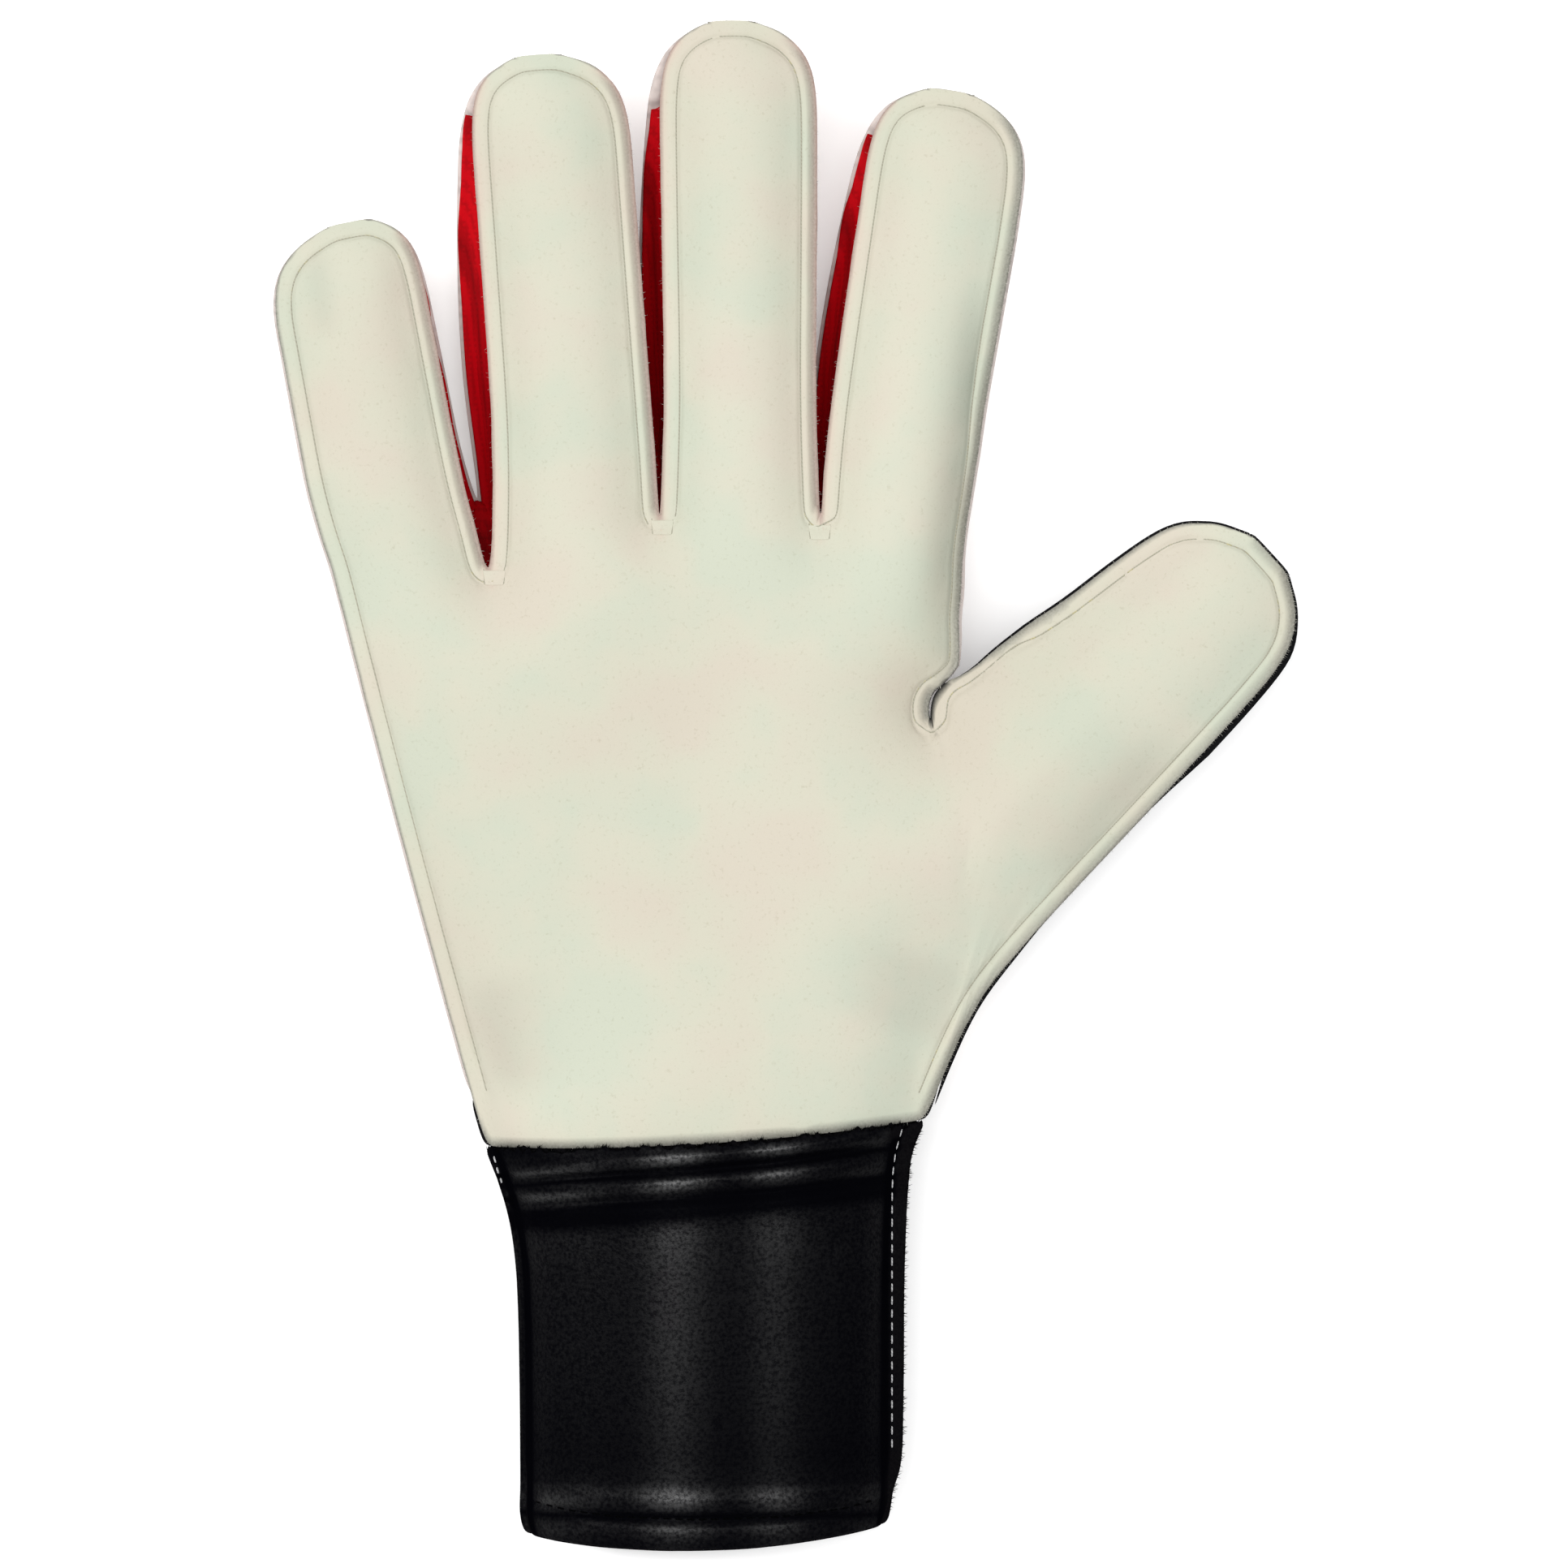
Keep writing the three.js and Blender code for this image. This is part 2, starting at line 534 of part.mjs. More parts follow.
const latex = new THREE.MeshStandardMaterial({ color: 0xe6e2d0, roughness: 0.85, metalness: 0 });
const paleFoam = new THREE.MeshStandardMaterial({ color: 0xe2e0da, roughness: 0.8, metalness: 0 });
const blackFoam = new THREE.MeshStandardMaterial({ color: 0x101012, roughness: 0.75, metalness: 0 });
const redStretch = new THREE.MeshStandardMaterial({ color: 0xb80f1c, roughness: 0.6, metalness: 0 });
const blackSynthetic = new THREE.MeshStandardMaterial({ color: 0x0d0d10, roughness: 0.4, metalness: 0 });

const glove = new THREE.Group();
const palmLayout = handLayout(false);
const backLayout = handLayout(true);
const palmOutline = outlineOf(palmLayout);
const backOutline = outlineOf(backLayout);
// Fingers and thumb are laid out from root to tip, and turned round to face the way the hand does
const facingHand = (grid) => [...grid].reverse();

// Palm: fingers, hand and thumb in one piece of latex
function palmCell(p) {
  const z = palmTop(p);
  const inner = Math.max(rimBottom + lift(p), z - alongZ(palmTop, p, palmWall));
  return { outer: raise(p, z), inner: raise(p, inner) };
}
function addPalm() {
  const fingerGrids = palmLayout.fingerEdges.map(fingerGrid);
  const body = bodyGrid(palmLayout, fingerGrids, bodyRows);
  const thumb = thumbGrid(palmLayout, 0);
  thumb[0] = body.slice(slitRows).map((row) => row.at(-1));
  const grids = [...fingerGrids.map(facingHand), body, facingHand(thumb)];
  glove.add(wallMesh("palm_latex", grids.map((grid) => grid.map((row) => row.map(palmCell))), latex));
}

// Backhand: a pale hand with its fingers, a black thumb and a black strip over the wrist
function backCell(p) {
  const z = backBottom(p);
  const inner = Math.min(Math.max(flangeTop(p), z + backRimWall), z + alongZ(backBottom, p, backWall));
  return { outer: raise(p, z), inner: raise(p, inner) };
}
function addBackhand() {
  const fingerGrids = backLayout.fingerEdges.map(fingerGrid);
  const yoke = 1 - yokeLength / palmLength;
  const gap = seamGap / palmLength;
  const aboveYoke = bodyRows.filter((v) => v < yoke - 2 * gap);
  const hand = bodyGrid(backLayout, fingerGrids, [...aboveYoke, yoke - gap]);
  const strip = bodyGrid(backLayout, fingerGrids, steps(yoke, 1, 2));
  const thumb = thumbGrid(backLayout, seamGap);
  const cells = (grids) => grids.map((grid) => grid.map((row) => row.map(backCell)));
  glove.add(wallMesh("back_hand", cells([...fingerGrids.map(facingHand), hand]), paleFoam));
  glove.add(wallMesh("back_wrist", cells([strip]), blackFoam));
  glove.add(wallMesh("back_thumb", cells([facingHand(thumb)]), blackFoam));
}

// Places along a gusset: down one finger, round the crotch and up the next finger
function gussetPlaces(layout, k) {
  const small = 0.01;
  const side = (finger, sign) => {
    const inward = (p, q) => point(q.y - p.y, p.x - q.x).normalize().multiplyScalar(-sign);
    const onEdge = steps(0, 1, gussetSteps).map((t) => {
      const ahead = finger.edge(sign, Math.min(1, t + small));
      return { p: finger.edge(sign, t), inward: inward(finger.edge(sign, Math.max(0, t - small)), ahead) };
    });
    const onCap = capAngles
      .filter((angle) => lerp(capReach, 1, angle) <= gussetReach)
      .map((angle) => ({
        p: finger.cap(sign, angle),
        inward: inward(finger.cap(sign, angle - small), finger.cap(sign, angle + small)),
      }));
    return [...onEdge, ...onCap];
  };
  const left = side(layout.fingerEdges[k], 1);
  const right = side(layout.fingerEdges[k + 1], -1);
  const turnOf = (v) => (v.angle() + 2 * Math.PI) % (2 * Math.PI);
  const fan = steps(turnOf(left[0].inward), turnOf(right[0].inward), fanSteps)
    .slice(1, -1)
    .map((turn) => ({ p: layout.roots[k + 1], inward: point(Math.cos(turn), Math.sin(turn)) }));
  return [...left.reverse(), ...fan, ...right];
}

// Gusset: a folded ribbon with a seam allowance under the palm's rim, a wall, and one on the backhand's rim
function addGusset(k) {
  const onPalm = gussetPlaces(palmLayout, k);
  const onBack = gussetPlaces(backLayout, k);
  const half = gussetWall / 2;
  const grid = onPalm.map((top, i) => {
    const low = onBack[i];
    const zTop = rimBottom + lift(top.p) - seamGap;
    const zLow = flangeTop(low.p) + seamGap;
    const topStitch = moved(top.p, top.inward, rimWidth);
    const lowStitch = moved(low.p, low.inward, rimWidth);
    const slant = Math.hypot(1, topStitch.distanceTo(lowStitch) / (zTop - zLow));
    const wide = half * Math.min(steepest, slant);
    const palmSide = { out: zTop - gussetWall, in: zTop, inward: top.inward };
    const backSide = { out: zLow + gussetWall, in: zLow, inward: low.inward };
    return [
      { at: moved(top.p, top.inward, seamGap), side: 0, ...palmSide },
      { at: topStitch, side: wide, ...palmSide },
      { at: lowStitch, side: wide, ...backSide },
      { at: moved(low.p, low.inward, edgeProud), side: 0, ...backSide },
    ].map((place) => ({
      outer: raise(moved(place.at, place.inward, -place.side), place.out),
      inner: raise(moved(place.at, place.inward, place.side), place.in),
    }));
  });
  glove.add(wallMesh(`gusset_${fingers[k].name}_${fingers[k + 1].name}`, [grid], redStretch));
}

// Cuff panels: columns across from the left seam allowance over the tube to the right one
function addCuffPanel(name, cellAt) {
  const across = steps(0, Math.PI, cuffColumns).map((turn) => -Math.cos(turn));
  const columnsOf = (sides) => [
    { u: -1, out: -leftFlange },
    ...across.map((u) => ({ u, out: 0 })),
    { u: 1, out: sides.flange },
  ];
  const wristSides = cuffSides(cuffSections[0]);
  const tops = columnsOf(wristSides).map(({ u, out }) => {
    const x = wristSides.middle + u * wristSides.half + out;
    return palmLayout.wrist((x + wristWidth / 2) / wristWidth).y - seamGap;
  });
  const grid = cuffSections.map((section) => {
    const sides = cuffSides(section);
    return columnsOf(sides).map(({ u, out }, i) => {
      const hem = -cuffLength + hemTilt * u - hemBow * (1 - u * u);
      const y = lerp(tops[i], hem, section.at);
      const { outer, inner } = cellAt(u, sides);
      return {
        outer: new THREE.Vector3(sides.middle + u * sides.half + out, y, outer),
        inner: new THREE.Vector3(sides.middle + u * (sides.half - (out ? 0 : cuffWall)) + out, y, inner),
      };
    });
  });
  glove.add(wallMesh(name, [grid], blackSynthetic));
}
function cuffFront(u, { rise, proud }) {
  const seam = seamPlane + seamGap / 2;
  return {
    outer: seam + flangeWall + (rise - flangeWall + proud) * arch(u),
    inner: seam + (rise - cuffWall) * arch(u),
  };
}
function cuffBack(u, { half, proud }) {
  const seam = seamPlane - seamGap / 2;
  const q = clamp((half * (1 - Math.abs(u))) / cuffCurve, 0, 1);
  const groove = Math.max(0, -proud);
  return {
    outer: groove + (seam - flangeWall - groove) * (1 - q) ** 2,
    inner: cuffWall + (seam - cuffWall) * (1 - q) ** 2,
  };
}

addPalm();
addBackhand();
fingers.slice(1).forEach((finger, k) => addGusset(k));
addCuffPanel("cuff_front", cuffFront);
addCuffPanel("cuff_back", cuffBack);

// The origin lies under the middle of the glove, on the surface
const box = new THREE.Box3().setFromObject(glove);
const middleOfBox = box.getCenter(new THREE.Vector3());
glove.position.set(-middleOfBox.x, -middleOfBox.y, -box.min.z);

export default glove;
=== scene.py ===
import math
import random

import bpy
import numpy as np
from mathutils import Matrix, Vector, noise
from mathutils.bvhtree import BVHTree
from mathutils.kdtree import KDTree


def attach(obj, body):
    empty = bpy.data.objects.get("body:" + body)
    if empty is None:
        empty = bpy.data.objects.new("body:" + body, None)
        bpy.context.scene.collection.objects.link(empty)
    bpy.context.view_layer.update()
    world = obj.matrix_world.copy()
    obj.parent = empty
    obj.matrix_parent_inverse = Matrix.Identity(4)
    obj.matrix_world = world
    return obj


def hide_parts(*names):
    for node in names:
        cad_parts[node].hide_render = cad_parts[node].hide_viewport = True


# Goalkeeper glove for the right hand, lying on its back, seen from above
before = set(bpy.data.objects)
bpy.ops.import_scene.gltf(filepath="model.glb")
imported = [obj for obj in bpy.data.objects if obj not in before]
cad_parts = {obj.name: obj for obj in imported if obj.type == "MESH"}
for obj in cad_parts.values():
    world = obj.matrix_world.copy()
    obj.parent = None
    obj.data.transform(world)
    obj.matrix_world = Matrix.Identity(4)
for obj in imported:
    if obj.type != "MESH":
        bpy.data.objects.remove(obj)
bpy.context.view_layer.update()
print("frame loaded:", len(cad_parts), "nodes")

scene = bpy.context.scene
mm = 0.001

# Photo pixels to places on the glove
photoFit = {"metresPerPixel": 0.00014362, "centreX": 971.9, "centreY": 966.1}


def fromPhoto(px, py):
    scale = photoFit["metresPerPixel"]
    return Vector(((px - photoFit["centreX"]) * scale, (photoFit["centreY"] - py) * scale))


def toPhoto(points):
    # pixel columns and rows
    plan = points[:, :2] / photoFit["metresPerPixel"]
    return plan[:, 0] + photoFit["centreX"], photoFit["centreY"] - plan[:, 1]


def deselectAll():
    if bpy.context.object and bpy.context.object.mode != "OBJECT":
        bpy.ops.object.mode_set(mode="OBJECT")
    bpy.ops.object.select_all(action="DESELECT")


def makeActive(piece):
    deselectAll()
    piece.select_set(True)
    bpy.context.view_layer.objects.active = piece


def applyModifier(piece, kind, **settings):
    makeActive(piece)
    modifier = piece.modifiers.new(kind.title(), kind)
    for key, value in settings.items():
        setattr(modifier, key, value)
    bpy.ops.object.modifier_apply(modifier=modifier.name)


def readPoints(piece):
    points = np.zeros(len(piece.data.vertices) * 3)
    piece.data.vertices.foreach_get("co", points)
    return points.reshape(-1, 3)


def readNormals(piece):
    normals = np.zeros(len(piece.data.vertices) * 3, np.float32)
    piece.data.vertex_normals.foreach_get("vector", normals)
    return normals.reshape(-1, 3).astype(float)


def writePoints(piece, points):
    piece.data.vertices.foreach_set("co", points.ravel())
    piece.data.update()


def readTag(piece, name):
    values = np.zeros(len(piece.data.vertices), np.float32)
    piece.data.attributes[name].data.foreach_get("value", values)
    return values.astype(float)


def writeTag(piece, name, values):
    tag = piece.data.attributes.get(name) or piece.data.attributes.new(name, "FLOAT", "POINT")
    tag.data.foreach_set("value", np.asarray(values, np.float32))


def smoothStep(low, high, values):
    share = np.clip((values - low) / (high - low), 0, 1)
    return share * share * (3 - 2 * share)


def noiseAt(points, size, seed):
    # soft noise from -1 to 1 with lumps of this size
    shift = Vector((seed * 7.3, seed * 3.1, seed * 5.7))
    return np.array([noise.noise(Vector(p) / size + shift) for p in points])


# Materials

def newMaterial(name, roughness, specular=0.5, sheen=0.0, sheenRoughness=0.5):
    material = bpy.data.materials.new(name)
    material.use_nodes = True
    shader = material.node_tree.nodes["Principled BSDF"]
    shader.inputs["Roughness"].default_value = roughness
    shader.inputs["Specular IOR Level"].default_value = specular
    shader.inputs["Sheen Weight"].default_value = sheen
    shader.inputs["Sheen Roughness"].default_value = sheenRoughness
    return material, shader


def addNode(material, kind, place, inputs=None, **settings):
    made = material.node_tree.nodes.new(kind)
    made.location = place
    for key, value in settings.items():
        setattr(made, key, value)
    for key, value in (inputs or {}).items():
        made.inputs[key].default_value = value
    return made


def link(material, fromSocket, toSocket):
    material.node_tree.links.new(fromSocket, toSocket)


def objectCoords(material, stretch=(1, 1, 1)):
    coords = addNode(material, "ShaderNodeTexCoord", (-1600, 0))
    mapping = addNode(material, "ShaderNodeMapping", (-1400, 0), {"Scale": stretch})
    link(material, coords.outputs["Object"], mapping.inputs["Vector"])
    return mapping.outputs["Vector"]


def noiseNode(material, vector, scale, detail, place, rough=0.5):
    made = addNode(
        material, "ShaderNodeTexNoise", place,
        {"Scale": scale, "Detail": detail, "Roughness": rough},
    )
    link(material, vector, made.inputs["Vector"])
    return made.outputs["Fac"]


def ramp(material, value, stops, place):
    made = addNode(material, "ShaderNodeValToRGB", place)
    elements = made.color_ramp.elements
    while len(elements) < len(stops):
        elements.new(0.5)
    for element, (position, colour) in zip(elements, stops):
        element.position = position
        element.color = (*colour, 1)
    link(material, value, made.inputs["Fac"])
    return made.outputs["Color"]


def mixColours(material, share, first, second, place, blend="MIX"):
    made = addNode(material, "ShaderNodeMix", place, data_type="RGBA", blend_type=blend)
    for socket, value in ((made.inputs[0], share), (made.inputs[6], first), (made.inputs[7], second)):
        if isinstance(value, bpy.types.NodeSocket):
            link(material, value, socket)
        else:
            socket.default_value = value if isinstance(value, (int, float)) else (*value, 1)
    return made.outputs[2]


def rangeOf(material, value, fromLow, fromHigh, toLow, toHigh, place):
    made = addNode(
        material, "ShaderNodeMapRange", place,
        {"From Min": fromLow, "From Max": fromHigh, "To Min": toLow, "To Max": toHigh},
    )
    link(material, value, made.inputs["Value"])
    return made.outputs["Result"]


def bumpFrom(material, height, strength, distance, place, under=None):
    made = addNode(material, "ShaderNodeBump", place, {"Strength": strength, "Distance": distance})
    link(material, height, made.inputs["Height"])
    if under:
        link(material, under, made.inputs["Normal"])
    return made.outputs["Normal"]


def attribute(material, name, place):
    return addNode(material, "ShaderNodeAttribute", place, attribute_name=name).outputs["Fac"]


latexLook = {
    "cream": (0.497, 0.487, 0.398), "pink": (0.508, 0.468, 0.39), "green": (0.463, 0.487, 0.398),
    "patchScale": 42, "cloudScale": 15, "poreScale": 1500, "grainScale": 5200,
    "rawFoam": (0.07, 0.07, 0.06), "rawLight": (0.38, 0.37, 0.32), "bledRed": (0.60, 0.33, 0.29),
    "shaded": (0.66, 0.68, 0.68), "slitShadeAndCloth": (0.004, 0.004, 0.004), "roughness": 0.8,
}


def makeLatex():
    look = latexLook
    material, shader = newMaterial("latex", look["roughness"], specular=0.25)
    vector = objectCoords(material)
    patches = noiseNode(material, vector, look["patchScale"], 3, (-1100, 300))
    clouds = noiseNode(material, vector, look["cloudScale"], 2, (-1100, 100))
    pores = noiseNode(material, vector, look["poreScale"], 3, (-1100, -150), rough=0.65)
    grain = noiseNode(material, vector, look["grainScale"], 2, (-1100, -400))
    tone = ramp(
        material, patches,
        [(0.36, look["pink"]), (0.5, look["cream"]), (0.64, look["green"])],
        (-850, 300),
    )
    veil = ramp(material, clouds, [(0.3, (0.93, 0.93, 0.92)), (0.7, (1, 1, 1))], (-850, 80))
    tone = mixColours(material, 1.0, tone, veil, (-600, 250), blend="MULTIPLY")
    specks = ramp(material, pores, [(0.26, (0.87, 0.86, 0.83)), (0.42, (1, 1, 1))], (-850, -150))
    tone = mixColours(material, 1.0, tone, specks, (-400, 200), blend="MULTIPLY")
    raw = attribute(material, "rawEdge", (-850, 600))
    foamNoise = noiseNode(material, vector, 2600, 3, (-1100, 700))
    foam = mixColours(material, foamNoise, look["rawFoam"], look["rawLight"], (-850, 760))
    tone = mixColours(material, raw, tone, foam, (-200, 300))
    shaded = mixColours(material, 1.0, tone, look["shaded"], (-200, 500), blend="MULTIPLY")
    tone = mixColours(material, attribute(material, "shade", (-850, 450)), tone, shaded, (-100, 400))
    bled = attribute(material, "bledRed", (-850, 950))
    tone = mixColours(material, bled, tone, look["bledRed"], (0, 300))
    # painted black at the foot of the slit: painted shade, standing also for the black back cloth
    slitShadeAndCloth = attribute(material, "slitShadeAndCloth", (-850, 1100))
    tone = mixColours(material, slitShadeAndCloth, tone, look["slitShadeAndCloth"], (100, 400))
    link(material, tone, shader.inputs["Base Color"])
    dull = rangeOf(material, pores, 0.3, 0.7, 0.74, 0.9, (-200, 0))
    link(material, dull, shader.inputs["Roughness"])
    normal = bumpFrom(material, grain, 0.25, 0.00005, (-400, -350))
    normal = bumpFrom(material, pores, 0.35, 0.00012, (-200, -250), under=normal)
    link(material, normal, shader.inputs["Normal"])
    return material


clothLooks = {
    "redStretch": {
        "light": (0.56, 0.001, 0.006), "dark": (0.40, 0.0005, 0.004), "rib": 1900, "depth": 0.00004,
        "roughness": 0.7, "sheen": 0.0, "specular": 0.06,
    },
    "paleBack": {
        "light": (0.66, 0.58, 0.55), "dark": (0.55, 0.49, 0.46), "rib": 900, "depth": 0.00012,
        "roughness": 0.85, "sheen": 0.1, "specular": 0.2,
    },
    "blackBack": {
        "light": (0.006, 0.006, 0.007), "dark": (0.003, 0.003, 0.0035), "rib": 1100, "depth": 0.0001,
        "roughness": 0.8, "sheen": 0.0, "specular": 0.08,
    },
}


def makeCloth(name):
    look = clothLooks[name]
    material, shader = newMaterial(name, look["roughness"], specular=look["specular"], sheen=look["sheen"])
    vector = objectCoords(material)
    lumps = noiseNode(material, vector, 60, 3, (-1100, 300))
    fibres = noiseNode(material, vector, look["rib"] * 2.2, 3, (-1100, 80))
    ribs = []
    for axis, place in (("X", (-1100, -200)), ("Y", (-1100, -420)), ("Z", (-1100, -640))):
        wave = addNode(
            material, "ShaderNodeTexWave", place,
            {"Scale": look["rib"] / math.tau, "Distortion": 1.2, "Detail": 1.0},
            bands_direction=axis,
        )
        link(material, vector, wave.inputs["Vector"])
        ribs.append(wave.outputs["Fac"])
    across = addNode(material, "ShaderNodeMath", (-850, -250), operation="MULTIPLY")
    link(material, ribs[0], across.inputs[0])
    link(material, ribs[1], across.inputs[1])
    weave = addNode(material, "ShaderNodeMath", (-650, -350), operation="ADD")
    link(material, across.outputs[0], weave.inputs[0])
    link(material, ribs[2], weave.inputs[1])
    tone = mixColours(material, lumps, look["dark"], look["light"], (-800, 300))
    threads = ramp(material, weave.outputs[0], [(0.1, (0.78, 0.78, 0.78)), (0.9, (1, 1, 1))], (-600, 60))
    tone = mixColours(material, 1.0, tone, threads, (-350, 250), blend="MULTIPLY")
    deep = mixColours(material, 1.0, tone, (0.35, 0.35, 0.35), (-350, 450), blend="MULTIPLY")
    tone = mixColours(material, attribute(material, "shade", (-600, 600)), tone, deep, (-150, 350))
    link(material, tone, shader.inputs["Base Color"])
    normal = bumpFrom(material, weave.outputs[0], 0.5, look["depth"], (-350, -250))
    normal = bumpFrom(material, fibres, 0.3, look["depth"] / 2, (-150, -250), under=normal)
    link(material, normal, shader.inputs["Normal"])
    return material


leatherLook = {
    "base": (0.0006, 0.0006, 0.0013), "worn": (0.0012, 0.0012, 0.0018), "fuzz": (0.006, 0.0055, 0.006),
    "cellScale": 1700, "wrinkleScale": 1500, "roughness": 0.3,
}


def makeLeather():
    look = leatherLook
    material, shader = newMaterial("blackSynthetic", look["roughness"])
    vector = objectCoords(material)
    cells = addNode(material, "ShaderNodeTexVoronoi", (-1100, 0), {"Scale": look["cellScale"]})
    link(material, vector, cells.inputs["Vector"])
    wrinkles = noiseNode(material, vector, look["wrinkleScale"], 4, (-1100, -250), rough=0.6)
    clouds = noiseNode(material, vector, 55, 3, (-1100, 250))
    tone = mixColours(material, clouds, look["base"], look["worn"], (-800, 250))
    raw = attribute(material, "rawEdge", (-1100, 520))
    fluff = noiseNode(material, vector, 3000, 3, (-1100, 700))
    fuzzy = mixColours(material, fluff, look["base"], look["fuzz"], (-800, 600))
    tone = mixColours(material, raw, tone, fuzzy, (-500, 350))
    link(material, tone, shader.inputs["Base Color"])
    gloss = rangeOf(material, wrinkles, 0.3, 0.7, 0.3, 0.44, (-800, -50))
    glints = rangeOf(material, wrinkles, 0.38, 0.62, 0.4, 1.7, (-800, -420))
    # the specular level follows the attribute that holds the painted highlights, flecked by the grain
    specularAndPaintedHighlights = addNode(material, "ShaderNodeMath", (-500, -500), operation="MULTIPLY")
    link(material, glints, specularAndPaintedHighlights.inputs[0])
    link(material, attribute(material, "specularAndPaintedHighlights", (-800, -600)), specularAndPaintedHighlights.inputs[1])
    link(material, specularAndPaintedHighlights.outputs[0], shader.inputs["Specular IOR Level"])
    dull = addNode(material, "ShaderNodeMath", (-500, 0), operation="MAXIMUM")
    link(material, gloss, dull.inputs[0])
    link(material, raw, dull.inputs[1])
    link(material, dull.outputs[0], shader.inputs["Roughness"])
    normal = bumpFrom(material, cells.outputs["Distance"], 0.3, 0.00004, (-600, -250))
    normal = bumpFrom(material, wrinkles, 0.5, 0.00012, (-400, -250), under=normal)
    normal = bumpFrom(material, fluff, 0.15, 0.0001, (-200, -250), under=normal)
    link(material, normal, shader.inputs["Normal"])
    return material


def makeThread(name, light, dark, roughness, specular=0.3):
    material, shader = newMaterial(name, roughness, specular=specular)
    vector = objectCoords(material)
    twist = addNode(
        material, "ShaderNodeTexWave", (-900, 0),
        {"Scale": 900, "Distortion": 1.5}, bands_direction="DIAGONAL",
    )
    link(material, vector, twist.inputs["Vector"])
    tone = mixColours(material, twist.outputs["Fac"], dark, light, (-500, 100))
    link(material, tone, shader.inputs["Base Color"])
    normal = bumpFrom(material, twist.outputs["Fac"], 0.4, 0.00004, (-400, -200))
    link(material, normal, shader.inputs["Normal"])
    return material


latex = makeLatex()
redStretch = makeCloth("redStretch")
paleBack = makeCloth("paleBack")
blackBack = makeCloth("blackBack")
leather = makeLeather()
yellowThread = makeThread("yellowThread", (0.47, 0.43, 0.25), (0.33, 0.30, 0.17), 0.8)
whiteThread = makeThread("whiteThread", (0.55, 0.55, 0.55), (0.3, 0.3, 0.31), 0.7)
blackThread = makeThread(
    "blackThread", (0.0012, 0.0012, 0.0015), (0.0004, 0.0004, 0.0005), 0.9, specular=0.01
)
# grey thread, also standing as painted shade along the seam groove and round the tabs
greyThreadAndShade = makeThread("greyThreadAndShade", (0.36, 0.35, 0.28), (0.28, 0.27, 0.21), 0.8)
print("materials made")


# Panels: a merged copy of the solid, in quads, with its cut edges held while it is rounded

def copyPanel(nodeName, pieceName, levels, crease=1.0, shared=(0, 1)):
    piece = bpy.data.objects.new(pieceName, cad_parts[nodeName].data.copy())
    scene.collection.objects.link(piece)
    piece.data.materials.clear()
    makeActive(piece)
    bpy.ops.object.mode_set(mode="EDIT")
    bpy.ops.mesh.select_all(action="SELECT")
    bpy.ops.mesh.customdata_custom_splitnormals_clear()
    bpy.ops.mesh.remove_doubles(threshold=0.00001)
    bpy.ops.object.mode_set(mode="OBJECT")
    tagEdges(piece, crease, shared)
    bpy.ops.object.mode_set(mode="EDIT")
    bpy.ops.mesh.tris_convert_to_quads(
        face_threshold=math.radians(38), shape_threshold=math.radians(75), seam=True
    )
    bpy.ops.object.mode_set(mode="OBJECT")
    applyModifier(piece, "SUBSURF", levels=levels, render_levels=levels)
    bpy.ops.object.shade_smooth()
    return piece


def tagEdges(piece, crease, shared):
    # a face of the cut edge has a side whose two ends share these coordinates
    data = piece.data
    places = readPoints(piece)
    around = {}
    for face in data.polygons:
        gaps = [np.abs(places[a] - places[b])[list(shared)].max() for a, b in face.edge_keys]
        isCut = min(gaps) < 0.003 * mm
        for key in face.edge_keys:
            around.setdefault(key, []).append((isCut, face.normal.z))
    upper = np.zeros(len(data.vertices))
    lower = np.zeros(len(data.vertices))
    creases = np.zeros(len(data.edges), np.float32)
    borders = np.zeros(len(data.edges), np.float32)
    for i, edge in enumerate(data.edges):
        faces = around[tuple(sorted(edge.vertices))]
        if len(faces) != 2 or faces[0][0] == faces[1][0]:
            continue
        creases[i] = crease
        edge.use_seam = True
        isUpper = min(faces)[1] > 0
        borders[i] = 1 if isUpper else 2
        (upper if isUpper else lower)[list(edge.vertices)] = 1
    writeTag(piece, "upperEdge", upper)
    writeTag(piece, "lowerEdge", lower)
    for name, values in (("crease_edge", creases), ("border", borders)):
        tag = data.attributes.get(name) or data.attributes.new(name, "FLOAT", "EDGE")
        tag.data.foreach_set("value", values)


def edgeLoop(piece, which):
    # the vertices of the upper (1) or lower (2) border in order
    borders = np.zeros(len(piece.data.edges), np.float32)
    piece.data.attributes["border"].data.foreach_get("value", borders)
    beside = {}
    for edge, border in zip(piece.data.edges, borders):
        if border == which:
            a, b = edge.vertices
            beside.setdefault(a, []).append(b)
            beside.setdefault(b, []).append(a)
    loops = []
    left = set(beside)
    while left:
        at = min(left)
        loop = []
        while at is not None:
            loop.append(at)
            left.discard(at)
            at = next((n for n in beside[at] if n in left), None)
        loops.append(loop)
    print(piece.name, "border loops:", [len(loop) for loop in loops])
    return max(loops, key=len)


def treeOf(points):
    tree = KDTree(len(points))
    for i, p in enumerate(points):
        tree.insert((p[0], p[1], 0), i)
    tree.balance()
    return tree


def densified(points, step, closed=True):
    ring = np.vstack([points, points[:1]]) if closed else np.asarray(points)
    lengths = np.linalg.norm(np.diff(ring, axis=0), axis=1)
    run = np.concatenate([[0], np.cumsum(lengths)])
    at = np.arange(0, run[-1], step)
    return np.stack([np.interp(at, run, ring[:, k]) for k in range(ring.shape[1])], axis=1)


def distanceTo(tree, points):
    found = [tree.find((p[0], p[1], 0)) for p in points]
    return np.array([f[2] for f in found]), np.array([f[1] for f in found])


def segmentShare(points, start, end):
    # distance from a segment in plan, and the share along it
    run = np.array(end) - np.array(start)
    share = np.clip(((points[:, :2] - np.array(start)) @ run) / (run @ run), 0, 1)
    nearest = np.array(start) + share[:, None] * run
    return np.linalg.norm(points[:, :2] - nearest, axis=1), share


